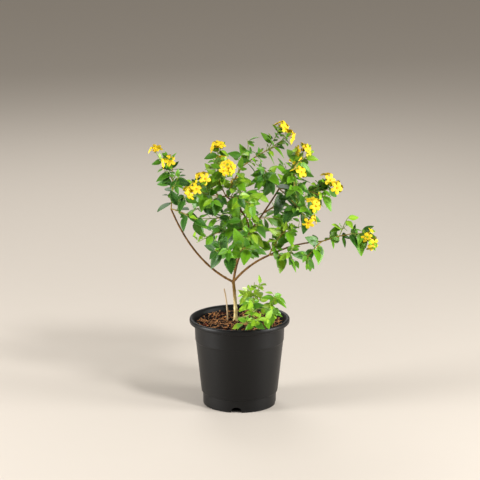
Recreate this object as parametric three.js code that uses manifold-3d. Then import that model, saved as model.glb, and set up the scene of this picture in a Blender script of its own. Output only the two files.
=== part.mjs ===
// Potted lantana: a small woody shrub in yellow flower, grown in an 8 inch nursery pot.
// Millimetres, +Z up. The origin is the centre of the pot's flat underside. +X points to the
// side that the longest bough reaches towards, and +Y points to the back of the shrub.
import * as THREE from "three";
import { mergeVertices } from "three/addons/utils/BufferGeometryUtils.js";
import Module from "manifold-3d";

const wasm = await Module();
wasm.setup();

// Clearance between neighbouring pieces.
const GAP = 0.3;

// Pot: a thin moulded shell with a rolled rim, a stacking step and a narrower foot.
const POT_HEIGHT = 187;
const POT_SIDES = 32;
const POT_WALL = 2;
const POT_FLOOR = 3;
const RIM_RADIUS = 105;
const RIM_HEIGHT = 13;
const RIM_INNER_RADIUS = 97;
const RIM_CORNER = 3;
const WALL_TOP_RADIUS = 94;
const STACKING_STEP_Z = 137;
const STACKING_STEP = 1.2;
const STACKING_STEP_HEIGHT = 2;
const FOOT_HEIGHT = 27;
const FOOT_STEP = 3;
const FOOT_STEP_HEIGHT = 1.5;
const WALL_FOOT_RADIUS = 80;
const BASE_RADIUS = 76.5;
const BASE_CORNER = 3;

// Drain notches: arches through the wall, level with the pot's underside.
const DRAIN_COUNT = 4;
const DRAIN_FIRST_ANGLE = -95;
const DRAIN_WIDTH = 22;
const DRAIN_HEIGHT = 12;
const DRAIN_INNER_RADIUS = 66;
const DRAIN_OUTER_RADIUS = 84;
const DRAIN_ARCH_STEPS = 2;

// Potting mix: coir and bark that fills the pot to just under its rim.
const SOIL_LEVEL = 176;

// Growth: opposite pairs of leaves, each pair turned a quarter from the last, with twigs
// rising from the axils of some pairs. Angles are in radians. A spread is the full width of a
// seeded variation.
const FIRST_PAIR = 14;
const PAIR_SPACING = 23;
const QUARTER_TURN = Math.PI / 2;
const LEAF_OPEN = 1.05;
const LEAF_OPEN_SPREAD = 0.35;
const LEAF_DROOP = 0.45;
const LEAF_DROOP_SPREAD = 0.55;
const LEAF_ROLL_SPREAD = 1.1;
const LEAF_SIZE_SPREAD = 0.3;
const LEAF_TAPER = 0.35;
const LEAF_OUTWARD = 0.6;
const LIGHT = new THREE.Vector3(0.1, -0.6, 1);
const PAIR_STAGGER = 0.7;
const TWIG_OPEN = 0.85;
const TWIG_LIFT = 0.35;
const TWIG_LENGTH = 40;
const TWIG_LENGTH_SPREAD = 14;
const TWIG_BOW = 5;
const TWIG_CLEAR_FROM = 0.3;
const TWIG_LEAF = 0.85;
const TIP_LEAF = 0.55;
const TIP_OPEN = 0.55;
const TIP_PAIR_AT = 0.96;
const BLOOM_TWIG_FOOT = 0.7;
const BLOOM_TWIG_BOW = 8;
const CROWN_AXIS = new THREE.Vector3(15, 10, 0);

// Leaf: an ovate blade, flat above and keeled below along its midrib, arched down to its tip.
// Each pair of numbers is a place along the leaf and half its width there, as shares of its length.
const LEAF_SHOULDER = [0.33, 0.27];
const LEAF_WAIST = [0.66, 0.22];
const LEAF_KEEL = 0.38;
const LEAF_SUNK = 0.2;
const LEAF_FOLD = 0.03;
const LEAF_ARCH = 0.16;

// Flower heads: funnels with five lobes, spread round the tip of a stalk.
const FLORET_RADIUS = 12;
const FLORET_NOTCH = 5.5;
const FLORET_ROOM = 8.5;
const FLORET_LENGTH = 14;
const FLORET_DISH = 2;
const FLORET_TILT = 1;
const FLORET_LOBES = 5;
const FLORET_SUNK = 1;
const HEAD_RISE = 0.5;
const HEAD_OUTWARD = 0.4;

// Twigs: three-sided, thinner from their foot to their tip.
const STEM_RADII = [1.5, 0.9];
const TWIG_RADII = [1.1, 0.7];
const STEM_STEPS = 3;
const TWIG_STEPS = 1;
const TWIG_SIDES = 3;

// Room: sample points stand for each leaf, twig and limb, and two pieces that belong to
// different nodes keep their sample points this far apart.
const ROOM = 5.5;
const ROOM_IN_MASS = 4.5;
const ROOM_OVER_POT = 3;
const ROOM_CELL = 12;
const LEAF_ROWS = 8;
const LEAF_COLUMNS = 2;
const LEAF_FREE_FROM = 2 * (2 * LEAF_COLUMNS + 1);
const TWIG_SAMPLE = 4;

// Trunk and boughs. Each starts on the line of its parent, at a share of the parent's length.
// bow moves the middle of the limb off its straight line.
const LIMB_SIDES = 6;
const LIMB_STEPS = 5;
const TRUNK_FOOT = [-8, 3, SOIL_LEVEL + GAP];
const TRUNK_FLARE = 1.75;
const TRUNK_FLARE_HEIGHT = 14;
const LIMBS = [
  {
    name: "trunk",
    to: [-13, 0, 262], bow: [2.5, 1.5, 0], radii: [3.9, 3.1],
  },
  {
    name: "bough_left", on: "trunk", at: 1,
    to: [-141, -20, 423], bow: [-18, 0, -38], radii: [2.4, 1.7],
  },
  {
    name: "bough_centre", on: "trunk", at: 1,
    to: [21, 5, 368], bow: [-10, 0, 0], radii: [2.5, 2.1],
  },
  {
    name: "bough_right", on: "trunk", at: 1,
    to: [61, -15, 323], bow: [-6, 0, 10], radii: [2.5, 2],
  },
  {
    name: "bough_right_outer", on: "bough_right", at: 1,
    to: [169, -30, 356], bow: [0, 0, 13], radii: [1.9, 1.5],
  },
  {
    name: "bough_front", on: "bough_centre", at: 0.3,
    to: [-12, -66, 328], bow: [-4, -8, -6], radii: [1.8, 1.5],
  },
  {
    name: "bough_back", on: "bough_centre", at: 0.12,
    to: [0, 78, 372], bow: [0, 18, -6], radii: [2.1, 1.6],
  },
  {
    name: "bough_centre_right", on: "bough_centre", at: 1,
    to: [82, 30, 454], bow: [2, 0, -2], radii: [2, 1.6],
  },
  {
    name: "bough_upper_left", on: "bough_centre", at: 1,
    to: [-28, -10, 447], bow: [20, 0, 6], radii: [1.9, 1.5],
  },
  {
    name: "bough_top", on: "bough_upper_left", at: 1,
    to: [5, 10, 505], bow: [-4, 0, -4], radii: [1.5, 1.3],
  },
  {
    name: "bough_upper_right", on: "bough_centre_right", at: 1,
    to: [112, 20, 500], bow: [-4, 0, -2], radii: [1.5, 1.3],
  },
  {
    name: "bough_back_left", on: "bough_upper_left", at: 0.5,
    to: [-58, 68, 442], bow: [0, 12, -6], radii: [1.6, 1.3],
  },
  {
    name: "bough_back_right", on: "bough_centre_right", at: 0.45,
    to: [102, 86, 428], bow: [0, 12, -8], radii: [1.6, 1.3],
  },
  {
    name: "bough_basal", on: "trunk", at: 0.1,
    to: [37, -12, 207], bow: [0, 0, -14], radii: [1.6, 1.3],
  },
];

// Dead stub: a dry stick that stands in the mix beside the trunk.
const STUB = { from: [-25, 6, SOIL_LEVEL + GAP], to: [-32, 5, 246], bow: [3.5, 0.5, 0], radii: [1.8, 1.2] };

// Masses of foliage. Each grows from the tip of its bough. to is the tip of its stem, reach is
// how far its leaves may lie from that stem, leaf is the length of its largest leaf, twigs is
// how many axil twigs it carries, and blooms are the tips of its flowering twigs, with the
// number of open florets there.
const MASSES = [
  {
    name: "foliage_centre_middle", on: "bough_centre", to: [4, -74, 368], bow: [0, 0, 12],
    reach: 50, leaf: 50, twigs: 4, blooms: [], seed: 7,
  },
  {
    name: "foliage_left_inner", on: "bough_left", to: [-90, -50, 406], bow: [0, 0, 6],
    reach: 55, leaf: 50, twigs: 3, blooms: [], seed: 33,
  },
  {
    name: "foliage_left_high", on: "bough_left", to: [-138, -26, 512], bow: [4, 0, 0],
    reach: 46, leaf: 42, twigs: 2, blooms: [[-171, -22, 541, 1], [-144, -34, 522, 3]], seed: 30,
  },
  {
    name: "foliage_upper_left", on: "bough_upper_left", to: [-44, -2, 518], bow: [-14, 0, 0],
    reach: 50, leaf: 44, twigs: 4, blooms: [[-44, 4, 544, 3], [-25, -44, 514, 4]], seed: 1,
  },
  {
    name: "foliage_inner_left", on: "bough_upper_left", to: [-76, -34, 460], bow: [0, 0, -6],
    reach: 50, leaf: 50, twigs: 4, blooms: [[-94, -58, 468, 3], [-76, -44, 490, 3]], seed: 5,
  },
  {
    name: "foliage_centre_upper", on: "bough_upper_left", to: [26, -58, 440], bow: [0, 0, 8],
    reach: 50, leaf: 48, twigs: 4, blooms: [], seed: 32,
  },
  {
    name: "foliage_upper_inner", on: "bough_upper_left", to: [2, -30, 510], bow: [0, 0, 4],
    reach: 46, leaf: 46, twigs: 2, blooms: [], seed: 8,
  },
  {
    name: "foliage_top", on: "bough_top", to: [84, 18, 550], bow: [-6, 0, 6],
    reach: 50, leaf: 42, twigs: 3, blooms: [[84, 22, 582, 3], [98, 10, 568, 2]], seed: 13,
  },
  {
    name: "foliage_upper_right", on: "bough_upper_right", to: [140, 48, 518], bow: [0, 0, 8],
    reach: 50, leaf: 42, twigs: 3, blooms: [[131, 32, 534, 3]], seed: 36,
  },
  {
    name: "foliage_right_inner", on: "bough_upper_right", to: [112, -36, 474], bow: [0, 0, 10],
    reach: 48, leaf: 44, twigs: 3, blooms: [[119, -26, 497, 3]], seed: 29,
  },
  {
    name: "foliage_upper_centre", on: "bough_centre_right", to: [52, -22, 504], bow: [0, 0, 6],
    reach: 50, leaf: 44, twigs: 4, blooms: [], seed: 4,
  },
  {
    name: "foliage_right_middle", on: "bough_centre_right", to: [178, 26, 438], bow: [0, 0, 12],
    reach: 50, leaf: 44, twigs: 3, blooms: [[196, 18, 458, 3], [180, 22, 474, 2]], seed: 35,
  },
  {
    name: "foliage_right_low", on: "bough_centre_right", to: [136, -44, 408], bow: [0, 0, 10],
    reach: 50, leaf: 50, twigs: 3, blooms: [[149, -42, 436, 3], [142, -58, 408, 2]], seed: 18,
  },
  {
    name: "foliage_far_right", on: "bough_right_outer", to: [262, -30, 374], bow: [0, 0, 10],
    reach: 48, leaf: 50, twigs: 2, blooms: [[268, -34, 356, 3], [260, -38, 374, 1]], seed: 6,
  },
  {
    name: "foliage_right_lower", on: "bough_right_outer", to: [134, -86, 332], bow: [6, 0, 10],
    reach: 48, leaf: 44, twigs: 2, blooms: [], seed: 13,
  },
  {
    name: "foliage_right_under", on: "bough_right", to: [107, -64, 328], bow: [6, 0, 6],
    reach: 44, leaf: 50, twigs: 2, blooms: [], seed: 34,
  },
  {
    name: "foliage_right_over", on: "bough_right", to: [92, -38, 380], bow: [-6, 0, 0],
    reach: 46, leaf: 46, twigs: 3, blooms: [], seed: 34,
  },
  {
    name: "foliage_middle_left", on: "bough_centre", to: [-60, -40, 372], bow: [0, 0, 14],
    reach: 50, leaf: 46, twigs: 4, blooms: [], seed: 2,
  },
  {
    name: "foliage_centre_low", on: "bough_front", to: [-50, -96, 354], bow: [0, 0, 8],
    reach: 50, leaf: 44, twigs: 4, blooms: [], seed: 30,
  },
  {
    name: "foliage_centre_front", on: "bough_front", to: [16, -100, 364], bow: [0, 0, 6],
    reach: 50, leaf: 50, twigs: 3, blooms: [], seed: 7,
  },
  {
    name: "foliage_back_middle", on: "bough_back", to: [4, 146, 420], bow: [0, 0, 8],
    reach: 50, leaf: 46, twigs: 3, blooms: [[-4, 150, 436, 2]], seed: 19,
  },
  {
    name: "foliage_back_low_left", on: "bough_back", to: [-52, 118, 370], bow: [0, 0, 8],
    reach: 44, leaf: 46, twigs: 3, blooms: [], seed: 30,
  },
  {
    name: "foliage_back_low_right", on: "bough_back", to: [78, 120, 370], bow: [0, 0, 8],
    reach: 48, leaf: 46, twigs: 3, blooms: [], seed: 13,
  },
  {
    name: "foliage_back_left_high", on: "bough_back_left", to: [-44, 102, 480], bow: [-6, 0, 0],
    reach: 48, leaf: 44, twigs: 3, blooms: [[-38, 106, 494, 2]], seed: 20,
  },
  {
    name: "foliage_back_left_low", on: "bough_back_left", to: [-108, 94, 424], bow: [0, 0, 8],
    reach: 46, leaf: 44, twigs: 2, blooms: [[-102, 104, 436, 2]], seed: 11,
  },
  {
    name: "foliage_back_right_high", on: "bough_back_right", to: [112, 118, 478], bow: [0, 0, 0],
    reach: 48, leaf: 44, twigs: 3, blooms: [[120, 122, 490, 2]], seed: 29,
  },
  {
    name: "foliage_back_right_low", on: "bough_back_right", to: [152, 112, 406], bow: [0, 0, 10],
    reach: 46, leaf: 44, twigs: 3, blooms: [[158, 118, 416, 2]], seed: 33,
  },
  {
    name: "basal_shoot_upright", on: "bough_basal", to: [42, -14, 262], bow: [-3, 0, 0],
    reach: 44, leaf: 42, twigs: 1, blooms: [], seed: 33,
  },
  {
    name: "basal_shoot_left", on: "bough_basal", to: [14, -26, 238], bow: [0, 0, 8],
    reach: 40, leaf: 38, twigs: 2, blooms: [], seed: 6,
  },
  {
    name: "basal_shoot_right", on: "bough_basal", to: [68, -46, 210], bow: [0, 0, 6],
    reach: 54, leaf: 48, twigs: 1, blooms: [], seed: 35,
  },
  {
    name: "basal_shoot_front", on: "bough_basal", to: [28, -104, 199], bow: [-4, 0, 8],
    reach: 52, leaf: 42, twigs: 3, blooms: [], seed: 10, bare: 44,
  },
];

const UP = new THREE.Vector3(0, 0, 1);
const DOWN = new THREE.Vector3(0, 0, -1);

// Colours and surfaces.
const FINISHES = {
  pot: { color: 0x2b2a29, roughness: 0.55, metalness: 0 },
  soil: { color: 0x5a3626, roughness: 0.95, metalness: 0 },
  bark: { color: 0x7a5536, roughness: 0.85, metalness: 0 },
  dryWood: { color: 0xa98c68, roughness: 0.9, metalness: 0 },
  youngStem: { color: 0x86a546, roughness: 0.6, metalness: 0 },
  leaf: { color: 0x3f8a2c, roughness: 0.5, metalness: 0 },
  youngLeaf: { color: 0x7dbb3c, roughness: 0.5, metalness: 0 },
};

function vector(coordinates) {
  return new THREE.Vector3(...coordinates);
}

// A closed mesh's geometry as a solid that can be joined and cut.
function solidFrom(geometry) {
  const bare = geometry.clone();
  bare.deleteAttribute("normal");
  bare.deleteAttribute("uv");
  const merged = mergeVertices(bare, 1e-4);
  return new wasm.Manifold(
    new wasm.Mesh({
      numProp: 3,
      vertProperties: new Float32Array(merged.attributes.position.array),
      triVerts: new Uint32Array(merged.index.array),
    }),
  );
}

// The geometry of a solid.
function geometryFrom(solid) {
  const mesh = solid.getMesh();
  const geometry = new THREE.BufferGeometry();
  geometry.setAttribute("position", new THREE.BufferAttribute(mesh.vertProperties, mesh.numProp));
  geometry.setIndex(new THREE.BufferAttribute(mesh.triVerts, 1));
  const faceted = geometry.toNonIndexed();
  faceted.computeVertexNormals();
  return faceted;
}

// A geometry from points and triangles.
function facetGeometry(points, triangles) {
  const geometry = new THREE.BufferGeometry();
  geometry.setAttribute("position", new THREE.Float32BufferAttribute(points.flatMap((p) => p.toArray()), 3));
  geometry.setIndex(triangles.flat());
  return geometry;
}

// Joins a list of solids, two by two.
function joined(solids) {
  let rest = solids;
  while (rest.length > 1) {
    const next = [];
    for (let i = 0; i < rest.length; i += 2) {
      next.push(i + 1 < rest.length ? rest[i].add(rest[i + 1]) : rest[i]);
    }
    rest = next;
  }
  return rest[0];
}

// The largest separate piece of a solid.
function largestPiece(solid) {
  return solid.decompose().reduce((a, b) => (a.volume() > b.volume() ? a : b));
}

// A number source that gives the same row of numbers between 0 and 1 for the same seed.
function seededRandom(seed) {
  let state = seed >>> 0;
  return () => {
    state = (state + 0x6d2b79f5) >>> 0;
    let mixed = Math.imul(state ^ (state >>> 15), state | 1);
    mixed ^= mixed + Math.imul(mixed ^ (mixed >>> 7), mixed | 61);
    return ((mixed ^ (mixed >>> 14)) >>> 0) / 4294967296;
  };
}

// A curve from one point to another whose middle is bowed off the straight line.
function bowedCurve(from, to, bow) {
  const control = from.clone().lerp(to, 0.5).add(bow);
  return new THREE.QuadraticBezierCurve3(from, control, to);
}

// The direction of a bowed curve at a share of its length.
function directionAt(curve, share) {
  const early = curve.v1.clone().sub(curve.v0);
  const late = curve.v2.clone().sub(curve.v1);
  return early.lerp(late, share).normalize();
}

// A point on the straight steps that a twig along the curve is made of.
function stepPoint(curve, steps, share) {
  const step = Math.min(steps - 1, Math.floor(share * steps));
  return curve.getPoint(step / steps).lerp(curve.getPoint((step + 1) / steps), share * steps - step);
}

// A unit direction at right angles to another, as near as it can be to a wished one.
function squareTo(direction, wish) {
  return wish.clone().addScaledVector(direction, -wish.dot(direction)).normalize();
}

// A tapering limb with flat ends. radiusAt gives its radius at a share of its length, and
// extra is added all round it and to both ends.
function limbGeometry(curve, sides, steps, radiusAt, extra = 0) {
  const points = [];
  const triangles = [];
  let across = squareTo(directionAt(curve, 0), new THREE.Vector3(0.31, 0.95, 0.05));
  for (let i = 0; i <= steps; i++) {
    const share = i / steps;
    const direction = directionAt(curve, share);
    const centre = curve.getPoint(share);
    if (i === 0) centre.addScaledVector(direction, -extra);
    if (i === steps) centre.addScaledVector(direction, extra);
    across = squareTo(direction, across);
    const over = direction.clone().cross(across);
    const radius = radiusAt(share) + extra;
    for (let j = 0; j < sides; j++) {
      const angle = (2 * Math.PI * j) / sides;
      const point = centre.clone();
      point.addScaledVector(across, Math.cos(angle) * radius);
      point.addScaledVector(over, Math.sin(angle) * radius);
      points.push(point);
    }
  }
  for (let i = 0; i < steps; i++) {
    for (let j = 0; j < sides; j++) {
      const a = i * sides + j;
      const b = i * sides + ((j + 1) % sides);
      triangles.push([a, b, a + sides], [b, b + sides, a + sides]);
    }
  }
  const last = steps * sides;
  for (let j = 1; j < sides - 1; j++) {
    triangles.push([0, j + 1, j], [last, last + j, last + j + 1]);
  }
  return facetGeometry(points, triangles);
}

// A radius that falls evenly from one end to the other, with a flare at the foot if asked.
function taper([foot, tip], flare = 1, flareShare = 1) {
  return (share) => {
    const near = Math.max(0, 1 - share / flareShare);
    return (foot + (tip - foot) * share) * (1 + (flare - 1) * near * near);
  };
}

// The room that is taken: sample points, each with its size and its owner, in a grid of cells.
class Room {
  constructor() {
    this.cells = new Map();
  }

  cellOf(point) {
    return [point.x, point.y, point.z].map((value) => Math.floor(value / ROOM_CELL));
  }

  take(points, owner, size) {
    for (const point of points) {
      const key = this.cellOf(point).join();
      if (!this.cells.has(key)) this.cells.set(key, []);
      this.cells.get(key).push({ point, owner, size });
    }
  }

  // Whether all the points keep clear of the pot, and of what has been taken, by more from
  // other owners.
  isFree(points, owner) {
    for (const point of points) {
      const radius = Math.hypot(point.x, point.y);
      const ground = radius < RIM_INNER_RADIUS - ROOM_OVER_POT ? SOIL_LEVEL : POT_HEIGHT;
      if (radius < RIM_RADIUS + ROOM_OVER_POT && point.z < ground + ROOM_OVER_POT) return false;
      const [i, j, k] = this.cellOf(point);
      for (let n = 0; n < 27; n++) {
        const key = [i - 1 + (n % 3), j - 1 + (Math.floor(n / 3) % 3), k - 1 + Math.floor(n / 9)].join();
        for (const taken of this.cells.get(key) ?? []) {
          const clear = taken.owner === owner ? ROOM_IN_MASS : ROOM + taken.size;
          if (taken.point.distanceTo(point) < clear) return false;
        }
      }
    }
    return true;
  }
}

// Sample points along a curve, about evenly spaced.
function curveSamples(curve, skipStart = 0) {
  const count = Math.max(2, Math.ceil(curve.v0.distanceTo(curve.v2) / TWIG_SAMPLE));
  const samples = [];
  for (let i = 0; i <= count; i++) {
    const share = i / count;
    if (share >= skipStart) samples.push(curve.getPoint(share));
  }
  return samples;
}

// Half a leaf's width at a share of its length.
function leafHalfWidth(share) {
  const outline = [[0, 0], LEAF_SHOULDER, LEAF_WAIST, [1, 0]];
  const i = outline.findIndex(([end]) => share <= end);
  const [[fromShare, fromWidth], [toShare, toWidth]] = [outline[Math.max(0, i - 1)], outline[Math.max(1, i)]];
  return fromWidth + ((toWidth - fromWidth) * (share - fromShare)) / (toShare - fromShare);
}

// A point of a leaf. along and across are shares of its length.
function leafPoint(leaf, along, across) {
  const height = (LEAF_FOLD * Math.abs(across)) / LEAF_SHOULDER[1] - LEAF_ARCH * along * along;
  const point = leaf.root.clone();
  point.addScaledVector(leaf.along, along * leaf.length);
  point.addScaledVector(leaf.side, across * leaf.length);
  point.addScaledVector(leaf.up, height * leaf.length);
  return point;
}

function leafSamples(leaf) {
  const samples = [];
  for (let row = 1; row <= LEAF_ROWS; row++) {
    const along = row / LEAF_ROWS;
    for (let column = -LEAF_COLUMNS; column <= LEAF_COLUMNS; column++) {
      samples.push(leafPoint(leaf, along, (column / LEAF_COLUMNS) * leafHalfWidth(along)));
    }
  }
  return samples;
}

// The sideways direction in which the crown's outside lies, seen from its axis.
function outwardAt(point) {
  return new THREE.Vector3(point.x - CROWN_AXIS.x, point.y - CROWN_AXIS.y, 0).normalize();
}

// Whether all the points lie in the space of a plan's mass.
function inSpace(plan, points) {
  const nearest = new THREE.Vector3();
  return points.every((point) => {
    plan.axis.closestPointToPoint(point, true, nearest);
    return nearest.distanceTo(point) < plan.reach;
  });
}

// Adds one leaf to a plan, unless it would leave the mass's space or crowd another piece.
// spot gives its root, the direction of its twig and the side of the twig that it grows from.
function growLeaf(plan, room, spot, size, open, random) {
  const opened = open + LEAF_OPEN_SPREAD * (random() - 0.5);
  const droop = LEAF_DROOP + LEAF_DROOP_SPREAD * (random() - 0.5);
  const roll = LEAF_ROLL_SPREAD * (random() - 0.5);
  const length = size * (1 + LEAF_SIZE_SPREAD * (random() - 0.5));
  const along = spot.axis.clone().multiplyScalar(Math.cos(opened));
  along.addScaledVector(spot.side, Math.sin(opened));
  along.addScaledVector(DOWN, droop).normalize();
  const facing = squareTo(along, outwardAt(spot.root).multiplyScalar(LEAF_OUTWARD).add(LIGHT));
  const up = facing.applyAxisAngle(along, roll);
  const leaf = { root: spot.root, along, up, side: up.clone().cross(along), length };
  const samples = leafSamples(leaf);
  const outer = samples.slice(LEAF_FREE_FROM);
  if (!inSpace(plan, samples) || !room.isFree(outer, plan.name)) return;
  plan.leaves.push(leaf);
  room.take(samples, plan.name, 0);
}

// Adds the two leaves of a pair on opposite sides of a twig.
function growPair(plan, room, place, axis, side, size, open, random) {
  for (const way of [1, -1]) {
    const root = place.clone().addScaledVector(axis, way * PAIR_STAGGER);
    const spot = { root, axis, side: side.clone().multiplyScalar(way) };
    growLeaf(plan, room, spot, size, open, random);
  }
}

// A side of a curve at a share of its length, turned round it by an angle.
function sideAt(curve, share, turn) {
  const axis = directionAt(curve, share);
  const flat = squareTo(axis, new THREE.Vector3(-axis.y, axis.x, 0.2));
  return flat.applyAxisAngle(axis, turn);
}

// Adds pairs of leaves along a stem or twig, and returns where they stand. bare is the length
// of a stem's foot that bears none.
function growPairs(plan, room, { curve, steps }, size, turn, random, bare = 0) {
  const length = curve.v0.distanceTo(curve.v2);
  const first = FIRST_PAIR + bare;
  const count = Math.floor((length - first) / PAIR_SPACING) + 1;
  const pairs = [];
  for (let i = 0; i < count; i++) {
    const share = (first + i * PAIR_SPACING) / length;
    const axis = directionAt(curve, share);
    const side = sideAt(curve, share, turn + i * QUARTER_TURN);
    const place = stepPoint(curve, steps, share);
    const pairSize = size * (1 - LEAF_TAPER * share * share);
    growPair(plan, room, place, axis, side, pairSize, LEAF_OPEN, random);
    pairs.push({ place, axis, side });
  }
  return pairs;
}

// Adds the small pair of young leaves at the tip of a stem or twig.
function growTipPair(plan, room, { curve, steps }, size, turn, random) {
  const place = stepPoint(curve, steps, TIP_PAIR_AT);
  growPair(plan, room, place, directionAt(curve, 1), sideAt(curve, 1, turn), size, TIP_OPEN, random);
}

function addTwig(plan, room, curve, radii, steps) {
  const twig = { curve, radii, steps };
  plan.twigs.push(twig);
  room.take(curveSamples(curve, 0), plan.name, 0);
  return twig;
}

// A flower head at the tip of a stalk, with a direction for each open floret.
function addHead(plan, room, tip, stalk, count, random) {
  const axis = stalk.clone().addScaledVector(UP, HEAD_RISE);
  axis.addScaledVector(outwardAt(tip), HEAD_OUTWARD).normalize();
  const flat = squareTo(axis, new THREE.Vector3(0.3, -1, 0.2));
  const florets = [];
  for (let i = 0; i < count; i++) {
    const around = (2 * Math.PI * (i + 0.4 * random())) / count;
    const tilt = FLORET_TILT * (0.8 + 0.4 * random());
    const sideways = flat.clone().applyAxisAngle(axis, around);
    const direction = axis.clone().multiplyScalar(Math.cos(tilt));
    direction.addScaledVector(sideways, Math.sin(tilt));
    florets.push({ direction, spin: random() });
  }
  plan.heads.push({ tip, axis, florets });
  const samples = florets.map(({ direction }) => tip.clone().addScaledVector(direction, FLORET_LENGTH));
  room.take(samples, plan.name, FLORET_ROOM);
}

// Starts the plan of a mass with its stem and its flowering twigs, whose places are given.
function startPlan(mass, bough, room) {
  const random = seededRandom(mass.seed);
  const stem = bowedCurve(bough.curve.v2, vector(mass.to), vector(mass.bow));
  const plan = { name: mass.name, reach: mass.reach, axis: new THREE.Line3(stem.v0, stem.v2), random };
  Object.assign(plan, { twigs: [], leaves: [], heads: [] });
  plan.stem = addTwig(plan, room, stem, STEM_RADII, STEM_STEPS);
  plan.flowering = mass.blooms.map(([x, y, z, florets]) => {
    const tip = new THREE.Vector3(x, y, z);
    const bow = directionAt(stem, BLOOM_TWIG_FOOT).multiplyScalar(BLOOM_TWIG_BOW);
    const curve = bowedCurve(stepPoint(stem, STEM_STEPS, BLOOM_TWIG_FOOT), tip, bow);
    addHead(plan, room, tip, directionAt(curve, 1), florets, random);
    return addTwig(plan, room, curve, TWIG_RADII, TWIG_STEPS);
  });
  return plan;
}

// Adds a leafy twig that rises from the axil of a pair, if there is room for it.
function growAxilTwig(plan, room, pair, way, size, random) {
  const length = TWIG_LENGTH + TWIG_LENGTH_SPREAD * (random() - 0.5);
  const turn = random() * Math.PI;
  const direction = pair.axis.clone().multiplyScalar(Math.cos(TWIG_OPEN));
  direction.addScaledVector(pair.side, way * Math.sin(TWIG_OPEN));
  direction.addScaledVector(UP, TWIG_LIFT).normalize();
  const tip = pair.place.clone().addScaledVector(direction, length);
  const curve = bowedCurve(pair.place, tip, new THREE.Vector3(0, 0, -TWIG_BOW));
  const samples = curveSamples(curve, TWIG_CLEAR_FROM);
  if (!inSpace(plan, samples) || !room.isFree(samples, plan.name)) return;
  const twig = addTwig(plan, room, curve, TWIG_RADII, TWIG_STEPS);
  growPairs(plan, room, twig, size * TWIG_LEAF, turn, random);
  growTipPair(plan, room, twig, size * TIP_LEAF, turn, random);
}

// Grows the leaves and axil twigs of a mass into the room that is left.
function finishPlan(mass, plan, room) {
  const { random, stem } = plan;
  const pairs = growPairs(plan, room, stem, mass.leaf, random() * Math.PI, random, mass.bare);
  growTipPair(plan, room, stem, mass.leaf * TIP_LEAF, random() * Math.PI, random);
  for (const twig of plan.flowering) {
    growPairs(plan, room, twig, mass.leaf * TWIG_LEAF, random() * Math.PI, random);
  }
  for (let i = 0; i < mass.twigs; i++) {
    const pair = pairs[Math.floor(((i + 0.5) * pairs.length) / mass.twigs)];
    growAxilTwig(plan, room, pair, i % 2 === 0 ? 1 : -1, mass.leaf, random);
  }
}

// A leaf as a closed sheet: six points of outline, and the lowest point of its keel.
function leafSolid(leaf) {
  const [shoulder, shoulderWidth] = LEAF_SHOULDER;
  const [waist, waistWidth] = LEAF_WAIST;
  const outline = [
    leafPoint(leaf, -LEAF_SUNK / leaf.length, 0),
    leafPoint(leaf, shoulder, -shoulderWidth),
    leafPoint(leaf, waist, -waistWidth),
    leafPoint(leaf, 1, 0),
    leafPoint(leaf, waist, waistWidth),
    leafPoint(leaf, shoulder, shoulderWidth),
  ];
  const keel = outline.length;
  const triangles = [[0, 1, 5], [1, 2, 4], [1, 4, 5], [2, 3, 4]];
  for (let here = 0; here < outline.length; here++) {
    triangles.push([keel, (here + 1) % outline.length, here]);
  }
  return solidFrom(facetGeometry([...outline, leafPoint(leaf, LEAF_KEEL, 0)], triangles));
}

// A floret as a closed funnel that runs from the stalk's tip to a rim of lobes.
function floretSolid(tip, axis, { direction, spin }) {
  const flat = squareTo(direction, new THREE.Vector3(0.2, 0.3, 1));
  const points = [
    tip.clone().addScaledVector(axis, -FLORET_SUNK),
    tip.clone().addScaledVector(direction, FLORET_LENGTH - FLORET_DISH),
  ];
  const triangles = [];
  const rim = 2 * FLORET_LOBES;
  for (let i = 0; i < rim; i++) {
    const sideways = flat.clone().applyAxisAngle(direction, (2 * Math.PI * (i + 2 * spin)) / rim);
    const point = tip.clone().addScaledVector(direction, FLORET_LENGTH);
    points.push(point.addScaledVector(sideways, i % 2 === 0 ? FLORET_RADIUS : FLORET_NOTCH));
    const here = 2 + i;
    const next = 2 + ((i + 1) % rim);
    triangles.push([1, here, next], [0, next, here]);
  }
  return solidFrom(facetGeometry(points, triangles));
}

// The solid of a mass: its twigs, leaves and florets in one piece.
function massSolid(plan) {
  const twigs = plan.twigs.map(({ curve, radii, steps }) =>
    solidFrom(limbGeometry(curve, TWIG_SIDES, steps, taper(radii))),
  );
  const leaves = plan.leaves.map(leafSolid);
  const florets = plan.heads.flatMap(({ tip, axis, florets: open }) =>
    open.map((floret) => floretSolid(tip, axis, floret)),
  );
  return joined([...twigs, ...leaves, ...florets]);
}

// The pot's inner wall from its floor to the foot of its rim, as [radius, height] pairs.
const POT_INNER_LINE = [
  [BASE_RADIUS - POT_WALL, POT_FLOOR],
  [WALL_FOOT_RADIUS - FOOT_STEP - POT_WALL, FOOT_HEIGHT],
  [WALL_TOP_RADIUS - POT_WALL, POT_HEIGHT - RIM_HEIGHT],
];

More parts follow.
